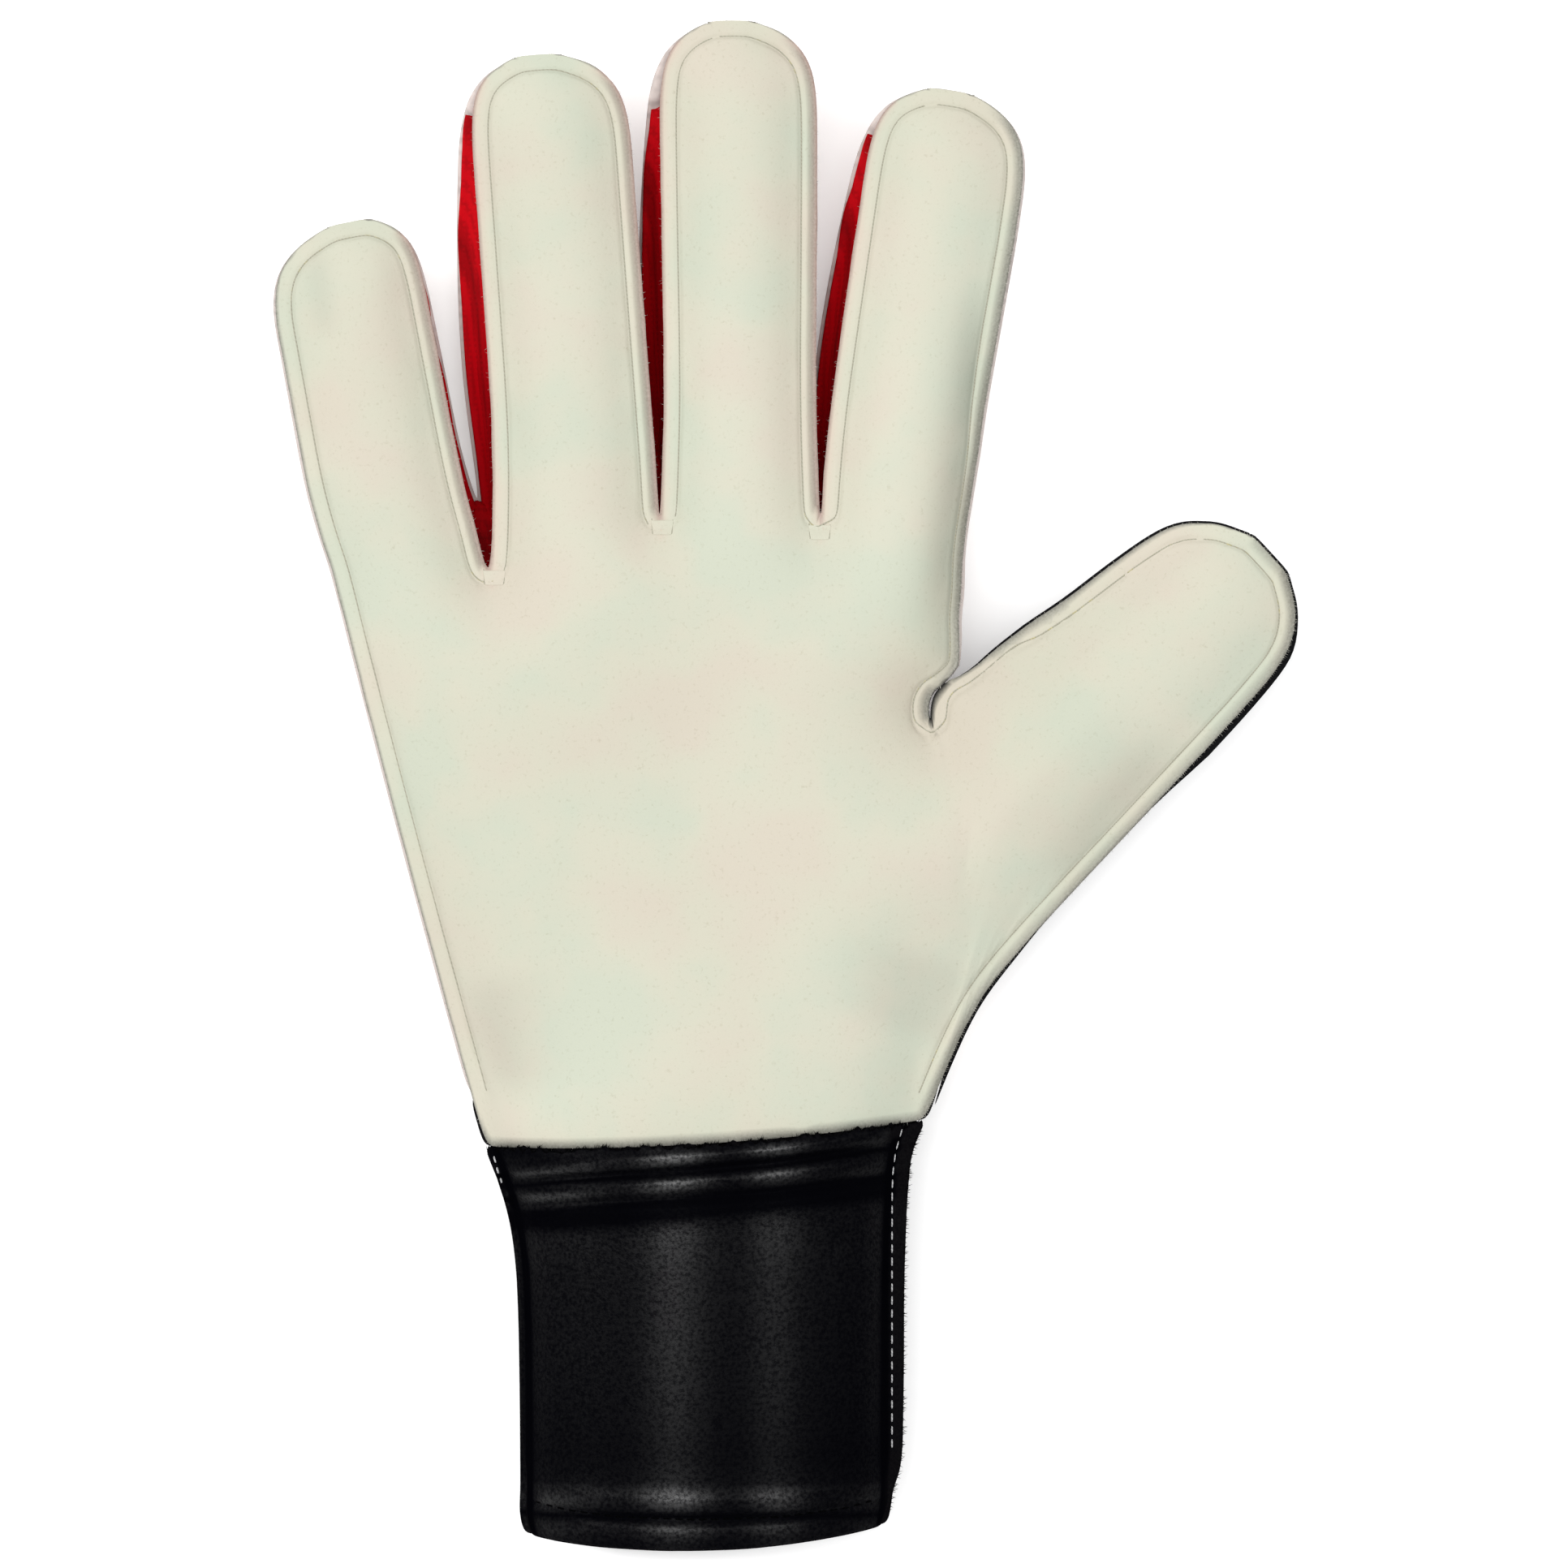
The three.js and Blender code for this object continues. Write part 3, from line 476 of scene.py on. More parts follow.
# Index side of the slit: pixel rows, and how far its edge goes to the thumb side in pixels
slitNudge = {
    "rows": [300, 420, 500, 560, 627, 693, 760, 793, 822, 842, 862],
    "moves": [0, -3, -5, -5, -7, -10, -9, 0, 10, 5, 0],
}
slitLine = {"start": (1163, 842), "end": (1440, 662)}
thumbTrim = {
    "upper": 1.4 * mm, "tip": 1.5 * mm, "root": 4 * mm, "full": 30 * mm, "width": 25 * mm,
    "tipRun": 22 * mm,
}


def nudgeSlit(points):
    out = points.copy()
    start, end = (fromPhoto(*slitLine[key]) for key in ("start", "end"))
    run = end - start
    aboveThumb = run.x * (points[:, 1] - start.y) - run.y * (points[:, 0] - start.x) > 0
    rows = toPhoto(points)[1]
    edge = np.interp(rows, [300, 828], [fromPhoto(1236, 300).x, fromPhoto(1177, 828).x])
    near = np.exp(-((np.minimum(points[:, 0] - edge, 0) / (8 * mm)) ** 2))
    move = np.interp(rows, slitNudge["rows"], slitNudge["moves"], left=0, right=0)
    out[:, 0] += np.where(aboveThumb, move * near * photoFit["metresPerPixel"], 0)
    # the thumb is a little slimmer and shorter than the solid's
    trim = thumbTrim
    axis = run.normalized()
    over = Vector((-axis.y, axis.x))
    plan = points[:, :2] - np.array(start)
    along, beside = plan @ np.array(axis), plan @ np.array(over)
    onThumb = beside < 3 * mm
    side = smoothStep(trim["root"], trim["full"], along) * np.clip(1 + beside / trim["width"], 0, 1)
    tip = (fromPhoto(1598, 740) - start).dot(axis)
    end = smoothStep(tip - trim["tipRun"], tip, along)
    shift = -np.outer(side * trim["upper"], over) - np.outer(end * trim["tip"], axis)
    out[:, :2] += shift * (onThumb & (along > 0))[:, None]
    return out


# Feet of the gaps between the fingers, which lie a little lower than the solid's
crotchDrops = [((610, 688), 2.3 * mm), ((813, 624), 2.3 * mm), ((1007, 632), 0.8 * mm)]
crotchSpread = 5 * mm


def lowerCrotches(points):
    out = points.copy()
    for pixels, drop in crotchDrops:
        away = np.linalg.norm(points[:, :2] - np.array(fromPhoto(*pixels)), axis=1)
        out[:, 1] -= drop * np.exp(-((away / crotchSpread) ** 2))
    return out


# Fingertips, where the outline is eased into one curve
tipMarks = {
    "places": [(432, 277), (665, 66), (880, 24), (1170, 112), (1568, 680)],
    "near": 7 * mm, "far": 11 * mm, "reach": 12, "spread": 5.0, "rim": 1.2 * mm,
}


def easeTips(piece, which):
    points = lowerCrotches(nudgeSlit(readPoints(piece)))
    ring = densified(points[edgeLoop(piece, which)], 0.4 * mm)
    reach = tipMarks["reach"]
    weights = np.exp(-((np.arange(-reach, reach + 1) / tipMarks["spread"]) ** 2))
    weights /= weights.sum()
    wrapped = np.vstack([ring[-reach:], ring, ring[:reach]])
    eased = np.stack([np.convolve(wrapped[:, k], weights, "valid") for k in range(3)], axis=1)
    away, nearest = distanceTo(treeOf(ring), points)
    marks = [np.array(fromPhoto(*p)) for p in tipMarks["places"]]
    tipAway = np.min([np.linalg.norm(points[:, :2] - mark, axis=1) for mark in marks], axis=0)
    share = 1 - smoothStep(tipMarks["near"], tipMarks["far"], tipAway)
    share *= np.exp(-((away / tipMarks["rim"]) ** 2))
    points[:, :2] += ((eased - ring)[nearest] * share[:, None])[:, :2]
    writePoints(piece, points)


palmForm = {
    "levels": 2, "rimWidth": 2.8 * mm, "rimRoll": 0.1 * mm, "rimWave": 0.22 * mm, "narrowRim": 0.42,
    "grooveDepth": 0.36 * mm, "grooveWidth": 0.42 * mm, "finer": 0.95 * mm, "heel": 9 * mm,
    "cutEdge": 2.0 * mm, "cutDrop": 1.1 * mm,
    "waves": [
        {"size": 34 * mm, "height": 0.35 * mm, "seed": 3},
        {"size": 11 * mm, "height": 0.08 * mm, "seed": 5},
    ],
    "dents": [
        {"line": [(1214, 330), (1204, 480), (1184, 660), (1168, 800)], "width": 3.0 * mm, "depth": 1.3 * mm},
        {"line": [(392, 330), (420, 500)], "width": 2.2 * mm, "depth": 0.5 * mm},
        {"line": [(1440, 915), (1290, 1110)], "width": 6 * mm, "depth": 0.8 * mm},
    ],
    "shades": [
        {"line": [(1222, 330), (1208, 470), (1188, 640), (1168, 815)], "width": 5.5 * mm, "depth": 0.85},
        {"line": [(1192, 640), (1172, 860)], "width": 3.6 * mm, "depth": 0.95},
        {"line": [(384, 290), (404, 430)], "width": 2.6 * mm, "depth": 0.25},
        {"line": [(1450, 900), (1360, 1010), (1290, 1120)], "width": 5 * mm, "depth": 0.4},
        {"line": [(1150, 1160), (1110, 1290)], "width": 11 * mm, "depth": 0.3},
        {"line": [(600, 1180), (640, 1370)], "width": 9 * mm, "depth": 0.3},
    ],
}


def fadeFrom(points, line, width, ends=0.0):
    # 1 on a line of photo pixels, fading over this width and towards its ends
    marks = [fromPhoto(*p) for p in line]
    away = np.min([segmentShare(points, a, b)[0] for a, b in zip(marks, marks[1:])], axis=0)
    fade = np.exp(-((away / width) ** 2))
    if ends:
        share = segmentShare(points, marks[0], marks[-1])[1]
        fade *= smoothStep(0, ends, share) * smoothStep(0, ends, 1 - share)
    return fade


def rimAt(points):
    # the rim narrows where the index finger's side turns under, above the thumb
    columns, rows = toPhoto(points)
    narrow = smoothStep(400, 620, rows) * (1 - smoothStep(820, 870, rows))
    narrow *= smoothStep(1110, 1150, columns) * (1 - smoothStep(1240, 1275, columns))
    return palmForm["rimWidth"] * (1 - palmForm["narrowRim"] * narrow)


def facesNear(piece, tree, middle, spread):
    # cut the upper faces near the stitch line finer
    makeActive(piece)
    bpy.ops.object.mode_set(mode="EDIT")
    bpy.ops.mesh.select_mode(type="FACE")
    bpy.ops.mesh.select_all(action="DESELECT")
    bpy.ops.object.mode_set(mode="OBJECT")
    for face in piece.data.polygons:
        away = tree.find((face.center.x, face.center.y, 0))[2]
        face.select = face.normal.z > 0.1 and -1.2 * spread < away - middle < spread
    bpy.ops.object.mode_set(mode="EDIT")
    bpy.ops.mesh.subdivide(number_cuts=2)
    bpy.ops.object.mode_set(mode="OBJECT")


def shapePalm():
    form = palmForm
    piece = copyPanel("palm_latex", "palm", form["levels"])
    easeTips(piece, 1)
    ring = densified(readPoints(piece)[edgeLoop(piece, 1)], 0.4 * mm)
    tree = treeOf(ring)
    points = readPoints(piece)
    away = distanceTo(tree, points)[0]
    eased = fadeFrom(points, [(1165, 960), (1200, 1290)], 9 * mm) * smoothStep(4 * mm, 9 * mm, away)
    group = piece.vertex_groups.new(name="thumbRoot")
    for i in np.where(eased > 0.02)[0].tolist():
        group.add([i], float(eased[i]), "REPLACE")
    applyModifier(piece, "SMOOTH", factor=0.5, iterations=24, vertex_group="thumbRoot")
    facesNear(piece, tree, form["rimWidth"], form["finer"])
    points = readPoints(piece)
    normals = readNormals(piece)
    facing = normals[:, 2] > 0.1
    away, nearest = distanceTo(tree, points)
    rim = rimAt(points)
    share = np.clip(away / rim, 0, 1)
    roll = form["rimRoll"] * np.sin(math.pi * share)
    groove = form["grooveDepth"] * np.exp(-(((away - rim) / form["grooveWidth"]) ** 2))
    moved = points.copy()
    aboveHeel = smoothStep(form["heel"], form["heel"] + 5 * mm, points[:, 1] - ring[:, 1].min())
    nearRim = 1 - smoothStep(form["rimWidth"], 2 * form["rimWidth"], away)
    wavy = form["rimWave"] * noiseAt(points, 6 * mm, 8) * nearRim
    moved += normals * np.where(facing, (roll - groove + wavy) * aboveHeel, 0)[:, None]
    inside = smoothStep(form["rimWidth"], 4 * form["rimWidth"], away)
    for wave in form["waves"]:
        lumps = noiseAt(points, wave["size"], wave["seed"])
        moved[:, 2] += np.where(facing, wave["height"] * inside * lumps, 0)
    # the cut edge slopes outwards on the thumb side of the fingers and the palm
    outward = np.array([ring[(i + 2) % len(ring)] - ring[i - 2] for i in range(len(ring))])
    signed = np.sum(ring[:, 0] * np.roll(ring[:, 1], -1) - np.roll(ring[:, 0], -1) * ring[:, 1])
    turn = 1 if signed > 0 else -1
    outward = np.stack([outward[:, 1] * turn, -outward[:, 0] * turn], axis=1)
    outward /= np.maximum(np.linalg.norm(outward, axis=1), 1e-9)[:, None]
    toThumb = smoothStep(0.5, 0.9, outward[nearest][:, 0])
    cut = smoothStep(0, 1, 1 - away / form["cutEdge"]) * toThumb
    moved[:, 2] -= np.where(facing, form["cutDrop"] * cut, 0)
    for d in form["dents"]:
        moved[:, 2] -= np.where(facing, d["depth"] * fadeFrom(points, d["line"], d["width"], 0.2), 0)
    writePoints(piece, moved)
    onEdge = np.clip(readTag(piece, "upperEdge") + readTag(piece, "lowerEdge"), 0, 1)
    writeTag(piece, "rawEdge", np.maximum(smoothStep(0.8, 0.99, onEdge), cut * facing))
    pastSeam = smoothStep(-0.4 * mm, 0.4 * mm, away - rim)
    shade = np.zeros(len(points))
    for d in form["shades"]:
        shade = np.maximum(shade, d["depth"] * fadeFrom(points, d["line"], d["width"], 0.3) * pastSeam)
    writeTag(piece, "shade", shade)
    piece.data.materials.append(latex)
    return piece, ring, outward, tree


palm, palmRing, palmOutward, palmTree = shapePalm()
print("palm shaped:", len(palm.data.polygons), "faces")


gussetForm = {"levels": 2, "foldDepth": 0.3 * mm, "folds": 2.0, "ripple": 0.12 * mm}


def shapeGusset(nodeName, pieceName, seed):
    form = gussetForm
    piece = copyPanel(nodeName, pieceName, form["levels"], crease=0.3)
    points = readPoints(piece)
    normals = readNormals(piece)
    wall = smoothStep(0.5, 0.9, np.hypot(normals[:, 0], normals[:, 1]))
    low, high = points[:, 2].min(), points[:, 2].max()
    share = (points[:, 2] - low) / (high - low)
    folds = np.sin(math.tau * (share * form["folds"] + 0.25 * noiseAt(points, 22 * mm, seed)))
    side = np.sign(normals[:, 0])[:, None] * normals  # both faces of the wall move together
    inPlan = side * [1, 1, 0]
    size = form["foldDepth"] * folds + form["ripple"] * noiseAt(points, 7 * mm, seed + 4)
    writePoints(piece, lowerCrotches(points + inPlan * (size * wall)[:, None]))
    # darker in the folds and towards the foot of the gap
    rows = toPhoto(points)[1]
    writeTag(piece, "shade", 0.6 * smoothStep(0.3, 0.9, -folds) + 0.15 * smoothStep(300, 620, rows))
    piece.data.materials.append(redStretch)
    return piece


gussets = [
    shapeGusset("gusset_little_ring", "gussetLittleRing", 11),
    shapeGusset("gusset_ring_middle", "gussetRingMiddle", 12),
    shapeGusset("gusset_middle_index", "gussetMiddleIndex", 13),
]
print("gussets shaped")


def stainEdges():
    # the red cloth has stained the raw edge of the latex beside it
    red = treeOf(np.vstack([readPoints(g) for g in gussets]))
    points = readPoints(palm)
    onEdge = np.clip(readTag(palm, "upperEdge") + readTag(palm, "lowerEdge"), 0, 1)
    beside = 1 - smoothStep(0.5 * mm, 1.5 * mm, distanceTo(red, points)[0])
    writeTag(palm, "bledRed", 0.35 * onEdge ** 3 * beside)
    # the latex walls at the foot of the slit beside the thumb are painted black: painted shade inside the
    # slit, standing also for the black back cloth behind it
    slit = fadeFrom(points, [(1164, 843), (1146, 864), (1147, 892)], 0.9 * mm)
    writeTag(palm, "slitShadeAndCloth", np.where(readNormals(palm)[:, 2] < 0.75, smoothStep(0.3, 0.7, slit), 0))


stainEdges()


backForm = {
    "levels": 2, "seamIn": 2.8 * mm, "grooveDepth": 0.5 * mm, "grooveWidth": 0.5 * mm,
    # the black back of the thumb shows more here, and less towards the wrist
    "thumbShifts": [
        {"line": [(1585, 810), (1490, 925)], "width": 6 * mm, "out": 0.7 * mm},
        {"line": [(1400, 1000), (1290, 1130)], "width": 7 * mm, "out": -0.5 * mm},
    ],
}


def shapeBack(nodeName, pieceName, material):
    form = backForm
    piece = copyPanel(nodeName, pieceName, form["levels"])
    easeTips(piece, 2)
    points = readPoints(piece)
    normals = readNormals(piece)
    outer = normals[:, 2] < -0.1
    ring = densified(points[edgeLoop(piece, 2)], 0.5 * mm)
    away = distanceTo(treeOf(ring), points)[0]
    groove = form["grooveDepth"] * np.exp(-(((away - form["seamIn"]) / form["grooveWidth"]) ** 2))
    moved = points - normals * np.where(outer, groove, 0)[:, None]
    moved[:, 2] = np.maximum(moved[:, 2], 0)
    if pieceName == "backThumb":
        for s in form["thumbShifts"]:
            fade = fadeFrom(points, s["line"], s["width"])
            moved[:, :2] += np.outer(fade * s["out"], (0.657, -0.754))
    writePoints(piece, moved)
    piece.data.materials.append(material)
    return piece


backHand = shapeBack("back_hand", "backHand", paleBack)
backThumb = shapeBack("back_thumb", "backThumb", blackBack)
backWrist = shapeBack("back_wrist", "backWrist", blackBack)


def closeTips():
    # where a finger wall ends, the backhand's rim is sewn up against the palm's
    ends = []
    for gusset in gussets:
        wall = readPoints(gusset)
        foot = wall[wall[:, 1].argmin()][0]
        for side in (wall[wall[:, 0] < foot], wall[wall[:, 0] > foot]):
            ends.append(side[side[:, 1].argmax()][:2])
    points = readPoints(backHand)
    palmLow = densified(readPoints(palm)[edgeLoop(palm, 2)], 0.5 * mm)
    backTop = densified(points[edgeLoop(backHand, 1)], 0.5 * mm)
    toPalm = distanceTo(treeOf(palmLow), points)[1]
    away, toTop = distanceTo(treeOf(backTop), points)
    gap = palmLow[toPalm, 2] - backTop[toTop, 2] - 0.3 * mm
    endAway = np.min([np.linalg.norm(points[:, :2] - end, axis=1) for end in ends], axis=0)
    share = (1 - smoothStep(4 * mm, 8 * mm, endAway)) * (1 - smoothStep(2.5 * mm, 4.5 * mm, away))
    points[:, 2] += np.clip(gap, 0, 3 * mm) * share
    writePoints(backHand, points)


closeTips()
print("backhand shaped")


cuffForm = {
    "levels": 3, "flange": 2.6 * mm, "torn": 1.2 * mm,
    "ridges": [-20.4 * mm, -2.4 * mm], "ridgeWidth": 5 * mm, "ridgeHeight": 0.45 * mm,
    # hem grooves, rolls and creases: width and depth in millimetres, line in pixels
    "dents": [
        (0.9, 1.0, [(612, 1453), (700, 1449), (810, 1443), (950, 1431), (1092, 1412)]),
        (1.1, 0.9, [(620, 1482), (700, 1480), (810, 1475), (950, 1466), (1090, 1448)]),
        (0.8, 0.8, [(660, 1852), (760, 1864), (860, 1867), (960, 1864), (1088, 1846)]),
        (1.0, -0.3, [(612, 1441), (700, 1436), (810, 1428), (950, 1416), (1092, 1397)]),
        (1.0, -0.35, [(618, 1468), (700, 1465), (810, 1459), (950, 1449), (1090, 1431)]),
        (1.6, -0.4, [(655, 1828), (760, 1842), (860, 1845), (960, 1842), (1088, 1824)]),
        (0.8, 0.5, [(1030, 1524), (1092, 1516)]),
        (0.7, 0.4, [(1045, 1568), (1094, 1562)]),
        (0.7, 0.4, [(1050, 1712), (1095, 1708)]),
        (0.8, 0.4, [(648, 1560), (700, 1575)]),
    ],
}


# How shiny the cuff's front is, by pixel column and by pixel row: painted highlights in the specular level,
# standing for the lights' reflections
cuffShineAndPaintedHighlights = {
    "plain": 0.016, "back": 0.05,
    "columns": [(700, 46, 0.02), (832, 34, 0.066), (957, 28, 0.04)],
    # shares of the painted highlights by row: the torn top, two rolls, the hollow, the flat and the hem
    "rows": [
        1400, 1420, 1428, 1436, 1443, 1452, 1460, 1468, 1476, 1500, 1518,
        1560, 1700, 1790, 1825, 1845, 1858, 1864, 1870, 1880, 1890, 1905,
    ],
    "shares": [
        0.3, 1.2, 13.0, 1.5, 0.0, 1.5, 13.0, 2.0, 0.05, 0.1, 2.2,
        1.3, 0.9, 0.5, 0.8, 9.0, 1.0, 0.0, 1.0, 4.0, 1.5, 0.6,
    ],
    "tilt": 0.1,
}


def cuffShineAndPaintedHighlightsAt(points, up):
    form = cuffShineAndPaintedHighlights
    px, py = toPhoto(points)
    py += (px - 810) * form["tilt"] * (1 - smoothStep(1490, 1560, py))
    paintedHighlightStreaks = sum(high * np.exp(-(((px - middle) / wide) ** 2)) for middle, wide, high in form["columns"])
    share = np.interp(py, form["rows"], form["shares"])
    plain = form["plain"] * smoothStep(0.35, 0.9, up) * np.clip(share, 0.1, 1.6)
    return plain + paintedHighlightStreaks * share * smoothStep(0.5, 0.85, up)


def cuffTop(x):
    # where the cuff's torn upper edge lies
    marks = [fromPhoto(*p) for p in ((605, 1410), (750, 1415), (1100, 1380), (1138, 1375))]
    return np.interp(x, [m.x for m in marks], [m.y for m in marks])


def shapeCuff(nodeName, pieceName, isFront):
    form = cuffForm
    piece = copyPanel(nodeName, pieceName, form["levels"], crease=0.5, shared=(1,))
    points = readPoints(piece)
    normals = readNormals(piece)
    outer = normals[:, 2] > 0.1 if isFront else normals[:, 2] < -0.1
    moved = points.copy()
    if isFront:
        for x in form["ridges"]:
            ridge = np.exp(-(((points[:, 0] - x) / form["ridgeWidth"]) ** 2))
            moved[:, 2] += np.where(outer, form["ridgeHeight"] * ridge, 0)
        for width, depth, line in form["dents"]:
            moved[:, 2] -= np.where(outer, depth * mm * fadeFrom(points, line, width * mm), 0)
        moved += normals * np.where(outer, 0.1 * mm * noiseAt(points, 9 * mm, 21), 0)[:, None]
    else:
        moved[:, 2] = np.maximum(moved[:, 2], 0)
    onEdge = np.clip(readTag(piece, "upperEdge") + readTag(piece, "lowerEdge"), 0, 1)
    nearTop = smoothStep(-2.5 * mm, -1 * mm, points[:, 1] - cuffTop(points[:, 0]))
    moved[:, 1] += form["torn"] * noiseAt(points, 1.1 * mm, 23) * onEdge ** 4 * nearTop
    writePoints(piece, moved)
    ring = densified(points[edgeLoop(piece, 1 if isFront else 2)], 0.5 * mm)
    away = distanceTo(treeOf(ring), points)[0]
    rightSide = smoothStep(0.0165, 0.0185, points[:, 0])
    raw = np.maximum(smoothStep(0.85, 0.99, onEdge), smoothStep(form["flange"], 1.6 * mm, away) * rightSide)
    writeTag(piece, "rawEdge", raw)
    # painted highlights on the front, an even specular level on the back
    specularAndPaintedHighlights = cuffShineAndPaintedHighlightsAt(points, normals[:, 2]) if isFront else np.full(len(points), cuffShineAndPaintedHighlights["back"])
    writeTag(piece, "specularAndPaintedHighlights", specularAndPaintedHighlights)
    piece.data.materials.append(leather)
    return piece


cuffFront = shapeCuff("cuff_front", "cuffFront", True)
cuffBack = shapeCuff("cuff_back", "cuffBack", False)
print("cuff shaped:", len(cuffFront.data.polygons), "faces")


# Stitches: one is modelled, then copied along a seam

def surfaceOf(piece):
    return BVHTree.FromPolygons(
        [v.co.copy() for v in piece.data.vertices], [tuple(f.vertices) for f in piece.data.polygons]
    )


def oneStitch(long, thick):
    deselectAll()
    bpy.ops.mesh.primitive_cylinder_add(
        vertices=6, radius=thick / 2, depth=long * 0.62, rotation=(0, math.pi / 2, 0)
    )
    stitch = bpy.context.object
    bpy.ops.object.transform_apply(location=True, rotation=True, scale=True)
    bpy.ops.object.mode_set(mode="EDIT")
    bpy.ops.mesh.select_all(action="DESELECT")
    bpy.ops.object.mode_set(mode="OBJECT")
    for face in stitch.data.polygons:
        face.select = abs(face.normal.x) > 0.9
    bpy.ops.object.mode_set(mode="EDIT")
    bpy.ops.mesh.extrude_region()
    bpy.ops.transform.resize(value=(1 / 0.62, 0.45, 0.45), center_override=(0, 0, 0))
    bpy.ops.object.mode_set(mode="OBJECT")
    return stitch


def sewSeam(name, places, form, material):
    stitch = oneStitch(form["long"], form["thick"])
    copies = []
    for place, along, up in places:
        along = along.normalized()
        side = up.cross(along).normalized()
        turn = Matrix((along, side, along.cross(side))).transposed().to_4x4()
        data = stitch.data.copy()
        data.transform(Matrix.Translation(place) @ turn)
        copies.append(bpy.data.objects.new(name, data))
        scene.collection.objects.link(copies[-1])
    bpy.data.objects.remove(stitch)
    deselectAll()
    for copy in copies:
        copy.select_set(True)
    bpy.context.view_layer.objects.active = copies[0]
    bpy.ops.object.join()
    piece = bpy.context.object
    piece.name = name
    bpy.ops.object.shade_smooth()
    piece.data.materials.clear()
    piece.data.materials.append(material)
    return piece


def alongLine(points, pitch, surface, sink):
    # evenly spaced places on a surface below a line in plan
    line = densified(np.array(points, float), pitch / 8, closed=False)
    places = []
    for i in range(4, len(line) - 4, 8):
        x, y = line[i][:2]
        hit, normal, face, far = surface.ray_cast(Vector((x, y, 0.2)), Vector((0, 0, -1)))
        ahead = surface.ray_cast(Vector((*line[i + 3][:2], 0.2)), Vector((0, 0, -1)))[0]
        behind = surface.ray_cast(Vector((*line[i - 3][:2], 0.2)), Vector((0, 0, -1)))[0]
        if hit is None or ahead is None or behind is None:
            continue
        places.append((hit - normal * sink, ahead - behind, normal))
    return places


palmSeam = {"long": 1.3 * mm, "thick": 0.22 * mm, "pitch": 1.75 * mm, "sink": 0.02 * mm}


def palmStitchLine():
    ring = palmRing
    depth = rimAt(ring)
    inner = ring[:, :2] - palmOutward * depth[:, None]
    away = distanceTo(palmTree, inner)[0]
    keep = (away > depth - 0.15 * mm) & (inner[:, 1] > ring[:, 1].min() + palmForm["heel"])
    runs, run = [], []
    for i in range(len(inner)):
        if keep[i] and (not run or np.linalg.norm(inner[i] - run[-1]) < 4.5 * mm):
            run.append(inner[i])
        elif run:
            runs.append(run)
            run = [inner[i]] if keep[i] else []
    runs.append(run)
    return [eased(r) for r in runs if len(r) > 8]


def eased(run):
    # an open line resampled and smoothed, with its ends held
    line = densified(np.array(run), 0.3 * mm, closed=False)
    weights = np.exp(-((np.arange(-6, 7) / 3.0) ** 2))
    padded = np.vstack([np.repeat(line[:1], 6, axis=0), line, np.repeat(line[-1:], 6, axis=0)])
    return np.stack([np.convolve(padded[:, k], weights / weights.sum(), "valid") for k in range(2)], axis=1)


def hasThread(place):
    # the yellow thread shows on the thumb side of each finger, on the outer edge and round the thumb
    outward = palmOutward[palmTree.find((place.x, place.y, 0))[1]]
    if place.x > 27 * mm and place.y < 52 * mm:
        return outward[1] > -0.2
    return outward[0] > 0.25 or place.x < -60 * mm


def layThread(name, runs, surface, form, material):
    # a thin thread along lines in plan, half sunk into the surface below
    data = bpy.data.curves.new(name, "CURVE")
    data.dimensions = "3D"
    data.bevel_depth = form["thick"] / 2
    data.bevel_resolution = 1
    data.use_fill_caps = True
    for run in runs:
        line = densified(np.array(run, float), form["step"], closed=False)
        hits = [surface.ray_cast(Vector((x, y, 0.2)), Vector((0, 0, -1))) for x, y in line]
        places = [hit[0] - hit[1] * form["sink"] for hit in hits if hit[0]]
        spline = data.splines.new("POLY")
        spline.points.add(len(places) - 1)
        for point, place in zip(spline.points, places):
            point.co = (*place, 1)
    thread = bpy.data.objects.new(name, data)
    scene.collection.objects.link(thread)
    makeActive(thread)
    bpy.ops.object.convert(target="MESH")
    thread = bpy.context.object
    bpy.ops.object.shade_smooth()
    thread.data.materials.clear()
    thread.data.materials.append(material)
    return thread


palmSurface = surfaceOf(palm)
seamRuns = palmStitchLine()
places = []
for run in seamRuns:
    along = alongLine(run, palmSeam["pitch"], palmSurface, palmSeam["sink"])
    places += [place for place in along if hasThread(place[0])]
palmStitches = sewSeam("palmStitches", places, palmSeam, yellowThread)
# a grey thread sunk along the whole seam line: thread, and painted shade for the groove's dark line where no
# thread shows
sunkThreadAndShade = {"thick": 0.24 * mm, "sink": 0.02 * mm, "step": 0.8 * mm}
seamThreadAndGrooveShade = layThread("seamThreadAndGrooveShade", seamRuns, palmSurface, sunkThreadAndShade, greyThreadAndShade)
print("palm seam sewn:", len(places), "stitches on", len(seamRuns), "runs")


# Tabs sewn on at the foot of each gap between the fingers
tabForm = {
    "wide": 3.6 * mm, "long": 2.6 * mm, "thick": 0.3 * mm, "sunk": 0.18 * mm,
    "places": [(609, 712), (816, 650), (1010, 656)],
}


